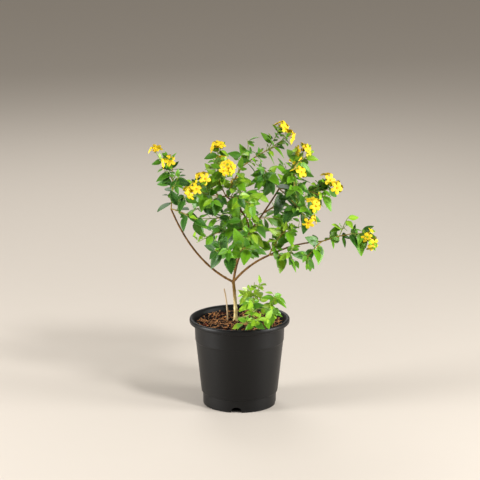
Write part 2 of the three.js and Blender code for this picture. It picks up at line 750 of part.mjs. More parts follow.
function potGeometry() {
  const outline = [
    [0, 0],
    [BASE_RADIUS - BASE_CORNER, 0],
    [BASE_RADIUS, BASE_CORNER],
    [WALL_FOOT_RADIUS - FOOT_STEP, FOOT_HEIGHT],
    [WALL_FOOT_RADIUS, FOOT_HEIGHT + FOOT_STEP_HEIGHT],
    [WALL_TOP_RADIUS - 2 * STACKING_STEP, STACKING_STEP_Z],
    [WALL_TOP_RADIUS - STACKING_STEP, STACKING_STEP_Z + STACKING_STEP_HEIGHT],
    [WALL_TOP_RADIUS, POT_HEIGHT - RIM_HEIGHT],
    [RIM_RADIUS - RIM_CORNER, POT_HEIGHT - RIM_HEIGHT],
    [RIM_RADIUS, POT_HEIGHT - RIM_HEIGHT + RIM_CORNER],
    [RIM_RADIUS, POT_HEIGHT - RIM_CORNER],
    [RIM_RADIUS - RIM_CORNER, POT_HEIGHT],
    [RIM_INNER_RADIUS, POT_HEIGHT - RIM_CORNER],
    ...[...POT_INNER_LINE].reverse(),
    [0, POT_FLOOR],
  ];
  const profile = outline.map(([radius, height]) => new THREE.Vector2(radius, height));
  return new THREE.LatheGeometry(profile, POT_SIDES).rotateX(QUARTER_TURN);
}

// The arch that cuts one drain notch, at an angle in degrees round the pot.
function drainGeometry(angle) {
  const half = DRAIN_WIDTH / 2;
  const springing = DRAIN_HEIGHT / 3;
  const arch = new THREE.Shape();
  arch.moveTo(-half, -GAP);
  arch.lineTo(half, -GAP);
  arch.absellipse(0, springing, half, DRAIN_HEIGHT - springing, 0, Math.PI, false);
  const depth = DRAIN_OUTER_RADIUS - DRAIN_INNER_RADIUS;
  const geometry = new THREE.ExtrudeGeometry(arch, {
    depth,
    bevelEnabled: false,
    curveSegments: DRAIN_ARCH_STEPS,
  });
  geometry.rotateX(QUARTER_TURN).translate(0, -DRAIN_INNER_RADIUS, 0);
  return geometry.rotateZ(THREE.MathUtils.degToRad(angle) + QUARTER_TURN);
}

function potSolid() {
  let pot = solidFrom(potGeometry());
  for (let i = 0; i < DRAIN_COUNT; i++) {
    pot = pot.subtract(solidFrom(drainGeometry(DRAIN_FIRST_ANGLE + (i * 360) / DRAIN_COUNT)));
  }
  return pot;
}

// The potting mix fills the pot up to the soil level, clear of its wall and floor.
function pottingMixGeometry() {
  const side = POT_INNER_LINE.map(([radius, height]) => [radius - GAP, height]);
  side[0][1] += GAP;
  const [topRadius] = side.at(-1);
  const outline = [[0, POT_FLOOR + GAP], ...side, [topRadius, SOIL_LEVEL], [0, SOIL_LEVEL]];
  const profile = outline.map(([radius, height]) => new THREE.Vector2(radius, height));
  return new THREE.LatheGeometry(profile, POT_SIDES).rotateX(QUARTER_TURN);
}

// Adds a named piece to a group. Its own frame stands at a given point of the whole.
function addPiece(group, name, solid, finish, at) {
  const geometry = geometryFrom(solid).translate(-at.x, -at.y, -at.z);
  const mesh = new THREE.Mesh(geometry, new THREE.MeshStandardMaterial(FINISHES[finish]));
  mesh.name = name;
  mesh.position.copy(at).sub(group.position);
  group.add(mesh);
}

// Lays out the trunk and boughs, in the order of their table.
function layOutLimbs() {
  const limbs = new Map();
  for (const row of LIMBS) {
    const parent = limbs.get(row.on);
    const from = parent ? parent.curve.getPoint(row.at) : vector(TRUNK_FOOT);
    const curve = bowedCurve(from, vector(row.to), vector(row.bow));
    const flareShare = TRUNK_FLARE_HEIGHT / from.distanceTo(curve.v2);
    const radiusAt = parent ? taper(row.radii) : taper(row.radii, TRUNK_FLARE, flareShare);
    limbs.set(row.name, { curve, radiusAt, parent, size: row.radii[0] });
  }
  return limbs;
}

// Grows every mass. The stems and flowers of all of them take their room before any leaf does.
function growFoliage(limbs, stub, masses) {
  const room = new Room();
  for (const [name, { curve, size }] of limbs) room.take(curveSamples(curve, 0), name, size);
  room.take(curveSamples(stub, 0), "dead_stub", STUB.radii[0]);
  const plans = masses.map((mass) => startPlan(mass, limbs.get(mass.on), room));
  masses.forEach((mass, i) => finishPlan(mass, plans[i], room));
  return plans;
}

function cutterFrom(curve, radiusAt, extra) {
  return solidFrom(limbGeometry(curve, LIMB_SIDES, LIMB_STEPS, radiusAt, extra));
}

// Cuts a solid clear of its neighbours.
function cutClear(solid, cutters) {
  return cutters.reduce((rest, cutter) => largestPiece(rest.subtract(cutter)), solid);
}

// Each limb is cut clear of its parent and of the boughs that left its parent before it.
function limbSolid(limb) {
  const { curve, radiusAt, parent } = limb;
  const whole = solidFrom(limbGeometry(curve, LIMB_SIDES, LIMB_STEPS, radiusAt));
  limb.cutters = [cutterFrom(curve, radiusAt, GAP)];
  if (!parent) return whole;
  const solid = cutClear(whole, parent.cutters);
  parent.cutters.push(limb.cutters[0]);
  return solid;
}

// Each mass is cut clear of its bough and of what grew from that bough before it.
function clearMassSolid(plan, bough) {
  const solid = cutClear(massSolid(plan), bough.cutters);
  bough.cutters.push(cutterFrom(plan.stem.curve, taper(STEM_RADII), 2 * GAP));
  return solid;
}

const limbs = layOutLimbs();
const stub = bowedCurve(vector(STUB.from), vector(STUB.to), vector(STUB.bow));
const plans = growFoliage(limbs, stub, MASSES);

const container = new THREE.Group();
const centre = vector([0, 0, 0]);
addPiece(container, "pot", potSolid(), "pot", centre);
addPiece(container, "potting_mix", solidFrom(pottingMixGeometry()), "soil", centre);

const shrub = new THREE.Group();
shrub.position.copy(vector(TRUNK_FOOT));
for (const [name, limb] of limbs) {
  addPiece(shrub, name, limbSolid(limb), name === "bough_basal" ? "youngStem" : "bark", limb.curve.v0);
}
const stubSolid = solidFrom(limbGeometry(stub, LIMB_SIDES, LIMB_STEPS, taper(STUB.radii)));
addPiece(shrub, "dead_stub", stubSolid, "dryWood", stub.v0);
MASSES.forEach((mass, i) => {
  const solid = clearMassSolid(plans[i], limbs.get(mass.on));
  addPiece(shrub, mass.name, solid, mass.on === "bough_basal" ? "youngLeaf" : "leaf", plans[i].stem.curve.v0);
});

const pottedLantana = new THREE.Group();
pottedLantana.add(container, shrub);

export default pottedLantana;
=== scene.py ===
from math import ceil, copysign, cos, dist, exp, floor, hypot, inf, pi, radians, sin, sqrt

import bpy
import numpy as np
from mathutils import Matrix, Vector, noise


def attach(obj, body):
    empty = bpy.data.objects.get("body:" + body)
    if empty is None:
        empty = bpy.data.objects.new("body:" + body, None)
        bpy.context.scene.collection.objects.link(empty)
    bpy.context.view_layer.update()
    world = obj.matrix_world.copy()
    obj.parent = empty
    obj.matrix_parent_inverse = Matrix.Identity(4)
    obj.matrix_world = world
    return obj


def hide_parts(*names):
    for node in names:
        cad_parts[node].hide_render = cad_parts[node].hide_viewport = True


# Looks of the potted lantana. The shrub grows again here by its own rule, in millimetres, and
# then carries finer shoots, toothed leaves, flowers and bark. Its pot and mix are drawn again too.
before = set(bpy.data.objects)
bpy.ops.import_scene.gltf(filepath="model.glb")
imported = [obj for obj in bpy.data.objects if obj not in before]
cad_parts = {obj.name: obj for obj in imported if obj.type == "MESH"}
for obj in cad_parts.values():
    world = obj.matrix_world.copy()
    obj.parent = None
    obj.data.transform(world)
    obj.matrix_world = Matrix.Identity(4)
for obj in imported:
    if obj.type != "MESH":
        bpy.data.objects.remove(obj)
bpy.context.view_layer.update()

MM = 0.001
TURN = 2 * pi
WORD = 0xFFFFFFFF
UP = np.array([0.0, 0.0, 1.0])

# Pot: its outline, as radius, height and rounding of each corner, and its drain notches.
POT_OUTLINE = [
    (0.01, 0, 0), (76.5, 0, 3), (77, 27, 0.8), (80, 28.5, 1), (91.6, 137, 0.7), (92.8, 139, 0.7),
    (94, 174, 1.5), (104, 174.5, 4), (105, 180.5, 3), (104, 187, 4.5), (97, 184.5, 2.5), (92, 174, 1),
    (75, 27, 0), (74.5, 3, 0), (0.01, 3, 0),
]
POT_HEIGHT = 187
POT_SIDES = 128
RIM_RADIUS = 105
RIM_INNER_RADIUS = 97
DRAIN_COUNT = 4
DRAIN_FIRST_ANGLE = -95
DRAIN_WIDTH = 22
DRAIN_HEIGHT = 12
DRAIN_INNER_RADIUS = 66
DRAIN_OUTER_RADIUS = 84

# Potting mix: its level, and the radius and height of each corner of its outline below that.
SOIL_LEVEL = 176
MIX_OUTLINE = [(74.2, 3.3), (74.7, 27), (91.7, 174)]
MIX_RADIUS = MIX_OUTLINE[-1][0]

# Growth, as in the solids.
FIRST_PAIR = 14
PAIR_SPACING = 23
LEAF_OPEN = 1.05
LEAF_OPEN_SPREAD = 0.35
LEAF_DROOP = 0.45
LEAF_DROOP_SPREAD = 0.55
LEAF_ROLL_SPREAD = 1.1
LEAF_SIZE_SPREAD = 0.3
LEAF_TAPER = 0.35
LEAF_OUTWARD = 0.6
LIGHT = np.array([0.1, -0.6, 1.0])
PAIR_STAGGER = 0.7
TWIG_CLEAR_FROM = 0.3
TWIG_LEAF = 0.85
TIP_LEAF = 0.55
TIP_OPEN = 0.55
TIP_PAIR_AT = 0.96
BLOOM_TWIG_FOOT = 0.7
BLOOM_TWIG_BOW = 8
CROWN_AXIS = (15, 10)
LEAF_SHOULDER = (0.33, 0.27)
LEAF_WAIST = (0.66, 0.22)
LEAF_FOLD = 0.03
LEAF_ARCH = 0.16
FLORET_RADIUS = 12
FLORET_ROOM = 8.5
FLORET_LENGTH = 14
FLORET_TILT = 1
FLORET_TURN_SPREAD = 0.4
FLORET_LOBES = 5
HEAD_RISE = 0.5
HEAD_OUTWARD = 0.4
HEAD_FRONT = np.array([0.3, -1.0, 0.2])
TILT_SPAN = (0.8, 0.4)
STEM_RADII = (1.5, 0.9)
TWIG_RADII = (1.1, 0.7)
STEM_STEPS = 3
TWIG_STEPS = 1
ROOM = 5.5
ROOM_IN_MASS = 4.5
ROOM_OVER_POT = 3
ROOM_CELL = 12
LEAF_ROWS = 8
LEAF_COLUMNS = 2
LEAF_FREE_FROM = 2 * (2 * LEAF_COLUMNS + 1)
TWIG_SAMPLE = 4

# Twigs and the finer shoots from the axils: length, its spread, opening, lift and bow.
TWIG_SHAPE = (40, 14, 0.85, 0.35, 5)
SHOOT_SHAPE = (13, 8, 0.7, 0.4, 1)

# A shoot's leaves need less room than others. Each of its pairs has its place on the shoot and its
# size, as shares of the shoot and of the mass's leaf.
FINE_ROOM = 2.6
SHOOT_PAIRS = ((0.55, 0.5), (1.0, 0.34))
SHOOT_RADII = (0.7, 0.45)

# Limbs and masses, as in the solids. The trunk and the stub start just over the mix.
TRUNK_FOOT = (-8, 3, 176.3)
TRUNK_FLARE = 1.75
TRUNK_FLARE_HEIGHT = 14
# Limbs: name, the limb that bears it, its place on that as a share, tip, bow and radii.
LIMBS = [
    ("trunk", None, 0, (-13, 0, 262), (2.5, 1.5, 0), (3.9, 3.1)),
    ("bough_left", "trunk", 1, (-141, -20, 423), (-18, 0, -38), (2.4, 1.7)),
    ("bough_centre", "trunk", 1, (21, 5, 368), (-10, 0, 0), (2.5, 2.1)),
    ("bough_right", "trunk", 1, (61, -15, 323), (-6, 0, 10), (2.5, 2)),
    ("bough_right_outer", "bough_right", 1, (169, -30, 356), (0, 0, 13), (1.9, 1.5)),
    ("bough_front", "bough_centre", 0.3, (-12, -66, 328), (-4, -8, -6), (1.8, 1.5)),
    ("bough_back", "bough_centre", 0.12, (0, 78, 372), (0, 18, -6), (2.1, 1.6)),
    ("bough_centre_right", "bough_centre", 1, (82, 30, 454), (2, 0, -2), (2, 1.6)),
    ("bough_upper_left", "bough_centre", 1, (-28, -10, 447), (20, 0, 6), (1.9, 1.5)),
    ("bough_top", "bough_upper_left", 1, (5, 10, 505), (-4, 0, -4), (1.5, 1.3)),
    ("bough_upper_right", "bough_centre_right", 1, (112, 20, 500), (-4, 0, -2), (1.5, 1.3)),
    ("bough_back_left", "bough_upper_left", 0.5, (-58, 68, 442), (0, 12, -6), (1.6, 1.3)),
    ("bough_back_right", "bough_centre_right", 0.45, (102, 86, 428), (0, 12, -8), (1.6, 1.3)),
    ("bough_basal", "trunk", 0.1, (37, -12, 207), (0, 0, -14), (1.6, 1.3)),
]

# Dead stub: the foot, tip and bow of a dry stick that stands in the mix beside the trunk.
STUB_LINE = ((-25, 6, 176.3), (-32, 5, 246), (3.5, 0.5, 0))
STUB_RADII = (1.8, 1.2)
STUB_SEED = 21

# The tone is the tint of a mass's leaves, from 0, the darkest, to 1, fresh young green. It is partly the
# leaves' own colour and partly painted shade: masses that lie in shade within the crown are given dark
# tones.
MASS_FIELDS = ("name", "on", "to", "bow", "reach", "leaf", "twigs", "seed", "tone")
MASSES = [dict(zip(MASS_FIELDS, row)) for row in (
    ("foliage_centre_middle", "bough_centre", (4, -74, 368), (0, 0, 12), 50, 50, 4, 7, 0.62),
    ("foliage_left_inner", "bough_left", (-90, -50, 406), (0, 0, 6), 55, 50, 3, 33, 0.12),
    ("foliage_left_high", "bough_left", (-138, -26, 512), (4, 0, 0), 46, 42, 2, 30, 0.2),
    ("foliage_upper_left", "bough_upper_left", (-44, -2, 518), (-14, 0, 0), 50, 44, 4, 1, 0.56),
    ("foliage_inner_left", "bough_upper_left", (-76, -34, 460), (0, 0, -6), 50, 50, 4, 5, 0.36),
    ("foliage_centre_upper", "bough_upper_left", (26, -58, 440), (0, 0, 8), 50, 48, 4, 32, 0.42),
    ("foliage_upper_inner", "bough_upper_left", (2, -30, 510), (0, 0, 4), 46, 46, 2, 8, 0.5),
    ("foliage_top", "bough_top", (84, 18, 550), (-6, 0, 6), 50, 42, 3, 13, 0.42),
    ("foliage_upper_right", "bough_upper_right", (140, 48, 518), (0, 0, 8), 50, 42, 3, 36, 0.74),
    ("foliage_right_inner", "bough_upper_right", (112, -36, 474), (0, 0, 10), 48, 44, 3, 29, 0.32),
    ("foliage_upper_centre", "bough_centre_right", (52, -22, 504), (0, 0, 6), 50, 44, 4, 4, 0.12),
    ("foliage_right_middle", "bough_centre_right", (178, 26, 438), (0, 0, 12), 50, 44, 3, 35, 0.28),
    ("foliage_right_low", "bough_centre_right", (136, -44, 408), (0, 0, 10), 50, 50, 3, 18, 0.16),
    ("foliage_far_right", "bough_right_outer", (262, -30, 374), (0, 0, 10), 48, 50, 2, 6, 0.36),
    ("foliage_right_lower", "bough_right_outer", (134, -86, 332), (6, 0, 10), 48, 44, 2, 13, 0.27),
    ("foliage_right_under", "bough_right", (107, -64, 328), (6, 0, 6), 44, 50, 2, 34, 0.42),
    ("foliage_right_over", "bough_right", (92, -38, 380), (-6, 0, 0), 46, 46, 3, 34, 0.58),
    ("foliage_middle_left", "bough_centre", (-60, -40, 372), (0, 0, 14), 50, 46, 4, 2, 0.25),
    ("foliage_centre_low", "bough_front", (-50, -96, 354), (0, 0, 8), 50, 44, 4, 30, 0.1),
    ("foliage_centre_front", "bough_front", (16, -100, 364), (0, 0, 6), 50, 50, 3, 7, 0.32),
    ("foliage_back_middle", "bough_back", (4, 146, 420), (0, 0, 8), 50, 46, 3, 19, 0.4),
    ("foliage_back_low_left", "bough_back", (-52, 118, 370), (0, 0, 8), 44, 46, 3, 30, 0.4),
    ("foliage_back_low_right", "bough_back", (78, 120, 370), (0, 0, 8), 48, 46, 3, 13, 0.4),
    ("foliage_back_left_high", "bough_back_left", (-44, 102, 480), (-6, 0, 0), 48, 44, 3, 20, 0.4),
    ("foliage_back_left_low", "bough_back_left", (-108, 94, 424), (0, 0, 8), 46, 44, 2, 11, 0.4),
    ("foliage_back_right_high", "bough_back_right", (112, 118, 478), (0, 0, 0), 48, 44, 3, 29, 0.4),
    ("foliage_back_right_low", "bough_back_right", (152, 112, 406), (0, 0, 10), 46, 44, 3, 33, 0.4),
    ("basal_shoot_upright", "bough_basal", (42, -14, 262), (-3, 0, 0), 44, 42, 1, 33, 0.6),
    ("basal_shoot_left", "bough_basal", (14, -26, 238), (0, 0, 8), 40, 38, 2, 6, 0.78),
    ("basal_shoot_right", "bough_basal", (68, -46, 210), (0, 0, 6), 54, 48, 1, 35, 0.5),
    ("basal_shoot_front", "bough_basal", (28, -104, 199), (-4, 0, 8), 52, 42, 3, 10, 0.58),
)]
TONE_SPREAD = 0.35
YOUNGER = 0.15
FINE_SEED = 500

# Length at the foot of a mass's stem that bears no leaves, where there is one.
BARE_FOOT = {"basal_shoot_front": 44}

# Flower heads: the place of each one's foot and its number of open florets.
BLOOMS = {
    "foliage_left_high": [(-171, -22, 541, 1), (-144, -34, 522, 3)],
    "foliage_upper_left": [(-44, 4, 544, 3), (-25, -44, 514, 4)],
    "foliage_inner_left": [(-94, -58, 468, 3), (-76, -44, 490, 3)],
    "foliage_top": [(84, 22, 582, 3), (98, 10, 568, 2)],
    "foliage_upper_right": [(131, 32, 534, 3)],
    "foliage_right_inner": [(119, -26, 497, 3)],
    "foliage_right_middle": [(196, 18, 458, 3), (180, 22, 474, 2)],
    "foliage_right_low": [(149, -42, 436, 3), (142, -58, 408, 2)],
    "foliage_far_right": [(268, -34, 356, 3), (260, -38, 374, 1)],
    "foliage_back_middle": [(-4, 150, 436, 2)],
    "foliage_back_left_high": [(-38, 106, 494, 2)],
    "foliage_back_left_low": [(-102, 104, 436, 2)],
    "foliage_back_right_high": [(120, 122, 490, 2)],
    "foliage_back_right_low": [(158, 118, 416, 2)],
}


def point(coordinates):
    return np.array(coordinates, float)


def unit(vector):
    return vector / sqrt(vector @ vector)


def square_to(direction, wish):
    return unit(wish - direction * (wish @ direction))


def turned(vector, axis, angle):
    """A vector turned round a unit axis."""
    along = axis * (axis @ vector)
    return along + (vector - along) * cos(angle) + np.cross(axis, vector) * sin(angle)


def leaning(axis, side, angle):
    """An axis tipped towards a side that is square to it."""
    return axis * cos(angle) + side * sin(angle)


def seeded_random(seed):
    """The same row of numbers between 0 and 1 for the same seed, as in the solids."""
    state = [seed]

    def draw():
        state[0] = (state[0] + 0x6D2B79F5) & WORD
        mixed = ((state[0] ^ (state[0] >> 15)) * (state[0] | 1)) & WORD
        mixed ^= (mixed + (((mixed ^ (mixed >> 7)) * (mixed | 61)) & WORD)) & WORD
        return (mixed ^ (mixed >> 14)) / (WORD + 1)

    return draw


def drawn(span, random):
    """A chance number from a span, given as its least number and its width."""
    return span[0] + span[1] * random()


class Curve:
    """A curve from one point to another whose middle is bowed off the straight line."""

    def __init__(self, start, end, bow):
        self.start = point(start)
        self.end = point(end)
        self.middle = self.start + (self.end - self.start) * 0.5 + point(bow)
        self.length = dist(self.start, self.end)

    def at(self, share):
        rest = 1 - share
        return self.start * rest * rest + self.middle * 2 * rest * share + self.end * share * share

    def direction(self, share):
        early = self.middle - self.start
        late = self.end - self.middle
        return unit(early + (late - early) * share)

    def step_point(self, steps, share):
        """A point on the straight steps that the solid's twig is made of."""
        step = min(steps - 1, floor(share * steps))
        first = self.at(step / steps)
        return first + (self.at((step + 1) / steps) - first) * (share * steps - step)

    def samples(self, skip_start=0.0):
        count = max(2, ceil(self.length / TWIG_SAMPLE))
        return [self.at(i / count) for i in range(count + 1) if i / count >= skip_start]


NEIGHBOURS = [(i, j, k) for i in (-1, 0, 1) for j in (-1, 0, 1) for k in (-1, 0, 1)]


class Room:
    """The room that is taken: sample points, each with its size and its owner, in cells."""

    def __init__(self):
        self.cells = {}

    def take(self, points, owner, size):
        for x, y, z in points:
            cell = (floor(x / ROOM_CELL), floor(y / ROOM_CELL), floor(z / ROOM_CELL))
            self.cells.setdefault(cell, []).append((x, y, z, owner, size))

    def is_free(self, points, owner, clear_in=ROOM_IN_MASS, clear_out=ROOM):
        """Whether all the points keep clear of the pot and of what has been taken."""
        for x, y, z in points:
            radius = hypot(x, y)
            ground = SOIL_LEVEL if radius < RIM_INNER_RADIUS - ROOM_OVER_POT else POT_HEIGHT
            if radius < RIM_RADIUS + ROOM_OVER_POT and z < ground + ROOM_OVER_POT:
                return False
            i, j, k = (floor(value / ROOM_CELL) for value in (x, y, z))
            for cell in NEIGHBOURS:
                for taken in self.cells.get((i + cell[0], j + cell[1], k + cell[2]), ()):
                    clear = clear_in if taken[3] == owner else clear_out + taken[4]
                    if (taken[0] - x) ** 2 + (taken[1] - y) ** 2 + (taken[2] - z) ** 2 < clear * clear:
                        return False
        return True


def half_width(share):
    """Half the solid leaf's width at a share of its length."""
    outline = [(0, 0), LEAF_SHOULDER, LEAF_WAIST, (1, 0)]
    return float(np.interp(share, [end for end, _ in outline], [width for _, width in outline]))


class Leaf:
    """One leaf: where it starts, the ways that it and its upper face point, its length and tint."""

    def __init__(self, root, along, up, length, tint):
        self.root = root
        self.along = along
        self.up = up
        self.side = np.cross(up, along)
        self.length = length
        self.tint = tint

    def samples(self):
        found = []
        for row in range(1, LEAF_ROWS + 1):
            along = row / LEAF_ROWS
            for column in range(-LEAF_COLUMNS, LEAF_COLUMNS + 1):
                across = column / LEAF_COLUMNS * half_width(along)
                height = LEAF_FOLD * abs(across) / LEAF_SHOULDER[1] - LEAF_ARCH * along * along
                offset = self.along * along + self.side * across + self.up * height
                found.append(self.root + offset * self.length)
        return found


def outward_at(place):
    return unit(point((place[0] - CROWN_AXIS[0], place[1] - CROWN_AXIS[1], 0)))


def side_at(curve, share, turn):
    axis = curve.direction(share)
    return turned(square_to(axis, point((-axis[1], axis[0], 0.2))), axis, turn)


def axil_curve(pair, way, random, length, spread, opening, lift, bow):
    """The curve of a twig or shoot beside one leaf of a pair, its direction and a chance turn."""
    length += spread * (random() - 0.5)
    turn = random() * pi
    direction = unit(leaning(pair["axis"], pair["side"] * way, opening) + UP * lift)
    return Curve(pair["place"], pair["place"] + direction * length, (0, 0, -bow)), direction, turn


class Plan:
    """One mass of foliage: its twigs, leaves and flower heads."""

    def __init__(self, mass, bough, room):
        self.room = room
        self.mass = mass
        self.name = mass["name"]
        self.random = seeded_random(mass["seed"])
        self.fine_random = seeded_random(FINE_SEED + mass["seed"])
        self.twigs = []
        self.leaves = []
        self.heads = []
        self.axils = []
        stem = Curve(bough["curve"].end, mass["to"], mass["bow"])
        self.stem = self.add_twig(stem, STEM_RADII, STEM_STEPS)
        self.flowering = []
        for *place, florets in BLOOMS.get(self.name, ()):
            bow = stem.direction(BLOOM_TWIG_FOOT) * BLOOM_TWIG_BOW
            curve = Curve(stem.step_point(STEM_STEPS, BLOOM_TWIG_FOOT), place, bow)
            self.add_head(curve.end, curve.direction(1), florets)
            self.flowering.append(self.add_twig(curve, TWIG_RADII, TWIG_STEPS))

    def in_space(self, points):
        start = self.stem["curve"].start
        line = self.stem["curve"].end - start
        offsets = np.array(points) - start
        shares = np.clip(offsets @ line / (line @ line), 0, 1)
        return bool((np.linalg.norm(offsets - shares[:, None] * line, axis=1) < self.mass["reach"]).all())

    def add_twig(self, curve, radii, steps):
        twig = {"curve": curve, "radii": radii, "steps": steps, "nodes": []}
        self.twigs.append(twig)
        self.room.take(curve.samples(), self.name, 0)
        return twig

    def add_head(self, tip, stalk, count):
        axis = unit(stalk + UP * HEAD_RISE + outward_at(tip) * HEAD_OUTWARD)
        flat = square_to(axis, HEAD_FRONT)
        florets = []
        for i in range(count):
            around = TURN * (i + FLORET_TURN_SPREAD * self.random()) / count
            tilt = FLORET_TILT * drawn(TILT_SPAN, self.random)
            direction = leaning(axis, turned(flat, axis, around), tilt)
            florets.append((direction, self.random()))
        self.heads.append({"tip": tip, "axis": axis, "flat": flat, "florets": florets})
        self.room.take([tip + direction * FLORET_LENGTH for direction, _ in florets], self.name, FLORET_ROOM)

    def grow_leaf(self, pair, way, size, opening, random, clear):
        """Adds one leaf of a pair, unless it would leave the mass's space or crowd another piece."""
        root = pair["place"] + pair["axis"] * way * PAIR_STAGGER
        opened = opening + LEAF_OPEN_SPREAD * (random() - 0.5)
        droop = LEAF_DROOP + LEAF_DROOP_SPREAD * (random() - 0.5)
        roll = LEAF_ROLL_SPREAD * (random() - 0.5)
        length = size * (1 + LEAF_SIZE_SPREAD * (random() - 0.5))
        along = unit(leaning(pair["axis"], pair["side"] * way, opened) - UP * droop)
        facing = square_to(along, outward_at(root) * LEAF_OUTWARD + LIGHT)
        leaf = Leaf(root, along, turned(facing, along, roll), length, pair["tint"])
        samples = leaf.samples()
        if self.in_space(samples) and self.room.is_free(samples[LEAF_FREE_FROM:], self.name, *clear):
            self.leaves.append(leaf)
            self.room.take(samples, self.name, 0)

    def grow_pair(self, place, axis, side, tint, size, opening, random, clear=()):
        pair = {"place": place, "axis": axis, "side": side, "tint": tint, "ways": [1, -1]}
        for way in (1, -1):
            self.grow_leaf(pair, way, size, opening, random, clear)
        return pair

    def grow_pairs(self, twig, size, turn, tint, bare=0):
        curve = twig["curve"]
        first = FIRST_PAIR + bare
        count = floor((curve.length - first) / PAIR_SPACING) + 1
        pairs = []
        for i in range(count):
            share = (first + i * PAIR_SPACING) / curve.length
            axis = curve.direction(share)
            side = side_at(curve, share, turn + i * pi / 2)
            place = curve.step_point(twig["steps"], share)
            pair_size = size * (1 - LEAF_TAPER * share * share)
            pairs.append(self.grow_pair(place, axis, side, tint, pair_size, LEAF_OPEN, self.random))
            twig["nodes"].append(share)
        self.axils += pairs
        return pairs

    def grow_tip_pair(self, twig, size, turn, tint):
        curve = twig["curve"]
        place = curve.step_point(twig["steps"], TIP_PAIR_AT)
        tip = (place, curve.direction(1), side_at(curve, 1, turn))
        self.grow_pair(*tip, tint + YOUNGER, size * TIP_LEAF, TIP_OPEN, self.random)

    def grow_axil_twig(self, pair, way, size):
        curve, _, turn = axil_curve(pair, way, self.random, *TWIG_SHAPE)
        samples = curve.samples(TWIG_CLEAR_FROM)
        if not self.in_space(samples) or not self.room.is_free(samples, self.name):
            return
        twig = self.add_twig(curve, TWIG_RADII, TWIG_STEPS)
        if way in pair["ways"]:
            pair["ways"].remove(way)
        tint = self.spray_tint()
        self.grow_pairs(twig, size * TWIG_LEAF, turn, tint)
        self.grow_tip_pair(twig, size, turn, tint)

    def spray_tint(self):
        """A tint for one spray: the mass's own tone, a step darker or lighter by chance."""
        return self.mass["tone"] + TONE_SPREAD * (self.fine_random() - 0.5)

    def finish(self):
        random = self.random
        size = self.mass["leaf"]
        tint = self.spray_tint()
        bare = BARE_FOOT.get(self.name, 0)
        pairs = self.grow_pairs(self.stem, size, random() * pi, tint, bare)
        self.grow_tip_pair(self.stem, size, random() * pi, tint)
        for twig in self.flowering:
            self.grow_pairs(twig, size * TWIG_LEAF, random() * pi, self.spray_tint())
        for i in range(self.mass["twigs"]):
            pair = pairs[floor((i + 0.5) * len(pairs) / self.mass["twigs"])]
            self.grow_axil_twig(pair, 1 if i % 2 == 0 else -1, size)

    def grow_shoots(self):
        """The finer growth: a short shoot with two pairs of young leaves in each free axil."""
        random = self.fine_random
        clear = (FINE_ROOM, FINE_ROOM)
        for pair in self.axils:
            for way in pair["ways"]:
                curve, direction, turn = axil_curve(pair, way, random, *SHOOT_SHAPE)
                if not self.in_space(curve.samples()):
                    continue
                had = len(self.leaves)
                tint = pair["tint"] + YOUNGER * random()
                for share, leaf_share in SHOOT_PAIRS:
                    side = side_at(curve, share, turn + share * pi)
                    size = self.mass["leaf"] * leaf_share
                    opening = LEAF_OPEN if share < 1 else TIP_OPEN
                    self.grow_pair(curve.at(share), direction, side, tint, size, opening, random, clear)
                if len(self.leaves) > had:
                    nodes = [SHOOT_PAIRS[0][0]]
                    self.twigs.append({"curve": curve, "radii": SHOOT_RADII, "steps": 1, "nodes": nodes})


def new_limb(curve, radii, seed, scars, flare=1.0, flare_share=1.0):
    """A tapering limb, with the distance between its scars and how its foot flares."""
    foot, tip = radii

    def radius_at(share):
        near = max(0.0, 1 - share / flare_share)
        return (foot + (tip - foot) * share) * (1 + (flare - 1) * near * near)

    return {"curve": curve, "radius_at": radius_at, "size": foot, "seed": seed, "scars": scars}


def lay_out_limbs():
    """The trunk, the boughs and the dead stub, by name."""
    limbs = {}
    for seed, (name, bearer, share, tip, bow, radii) in enumerate(LIMBS):
        curve = Curve(limbs[bearer]["curve"].at(share) if bearer else TRUNK_FOOT, tip, bow)
        flare = () if bearer else (TRUNK_FLARE, TRUNK_FLARE_HEIGHT / curve.length)
        limbs[name] = new_limb(curve, radii, seed, SCAR_SPACING, *flare)
    limbs["dead_stub"] = new_limb(Curve(*STUB_LINE), STUB_RADII, STUB_SEED, STUB_SCAR_SPACING)
    return limbs


def grow_foliage(limbs):
    room = Room()
    for name, limb in limbs.items():
        room.take(limb["curve"].samples(), name, limb["size"])
    plans = [Plan(mass, limbs[mass["on"]], room) for mass in MASSES]
    for plan in plans:
        plan.finish()
    for plan in plans:
        plan.grow_shoots()
    return plans


def add_object(name, data):
    made = bpy.data.objects.new(name, data)
    bpy.context.scene.collection.objects.link(made)
    return made


END_BULGE = 0.6
TUBE_SIDE = np.array([0.31, 0.95, 0.05])


class Sheaf:
    """Points in millimetres and faces, gathered into one mesh for each kind."""

    def __init__(self):
        self.points = []
        self.faces = []
        self.count = 0

    def add(self, points, faces):
        points = np.asarray(points, float)
        self.points.append(points)
        self.faces.extend([tuple(corner + self.count for corner in face) for face in faces])
        self.count += len(points)

    def piece(self, name, look, slot, replaced=(), smooth=True):
        """Makes the gathered mesh an object that rides on the plant's one body."""
        mesh = bpy.data.meshes.new(name)
        mesh.from_pydata((np.concatenate(self.points) * MM).tolist(), [], self.faces)
        mesh.polygons.foreach_set("use_smooth", [smooth] * len(mesh.polygons))
        mesh.materials.append(look)
        mesh.update()
        made = add_object(name, mesh)
        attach(made, "root")
        if replaced:
            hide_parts(*replaced)
        return made


def ring(radius, height, sides):
    """A level ring of points round the pot's axis."""
    angles = [TURN * j / sides for j in range(sides)]
    return [(radius * cos(angle), radius * sin(angle), height) for angle in angles]


def ring_faces(rings, spokes):
    """Faces between rings that each have the same number of points."""
    faces = []
    for i in range(rings - 1):
        for j in range(spokes):
            a = i * spokes + j
            b = i * spokes + (j + 1) % spokes
            faces.append((a, b, b + spokes, a + spokes))
    return faces


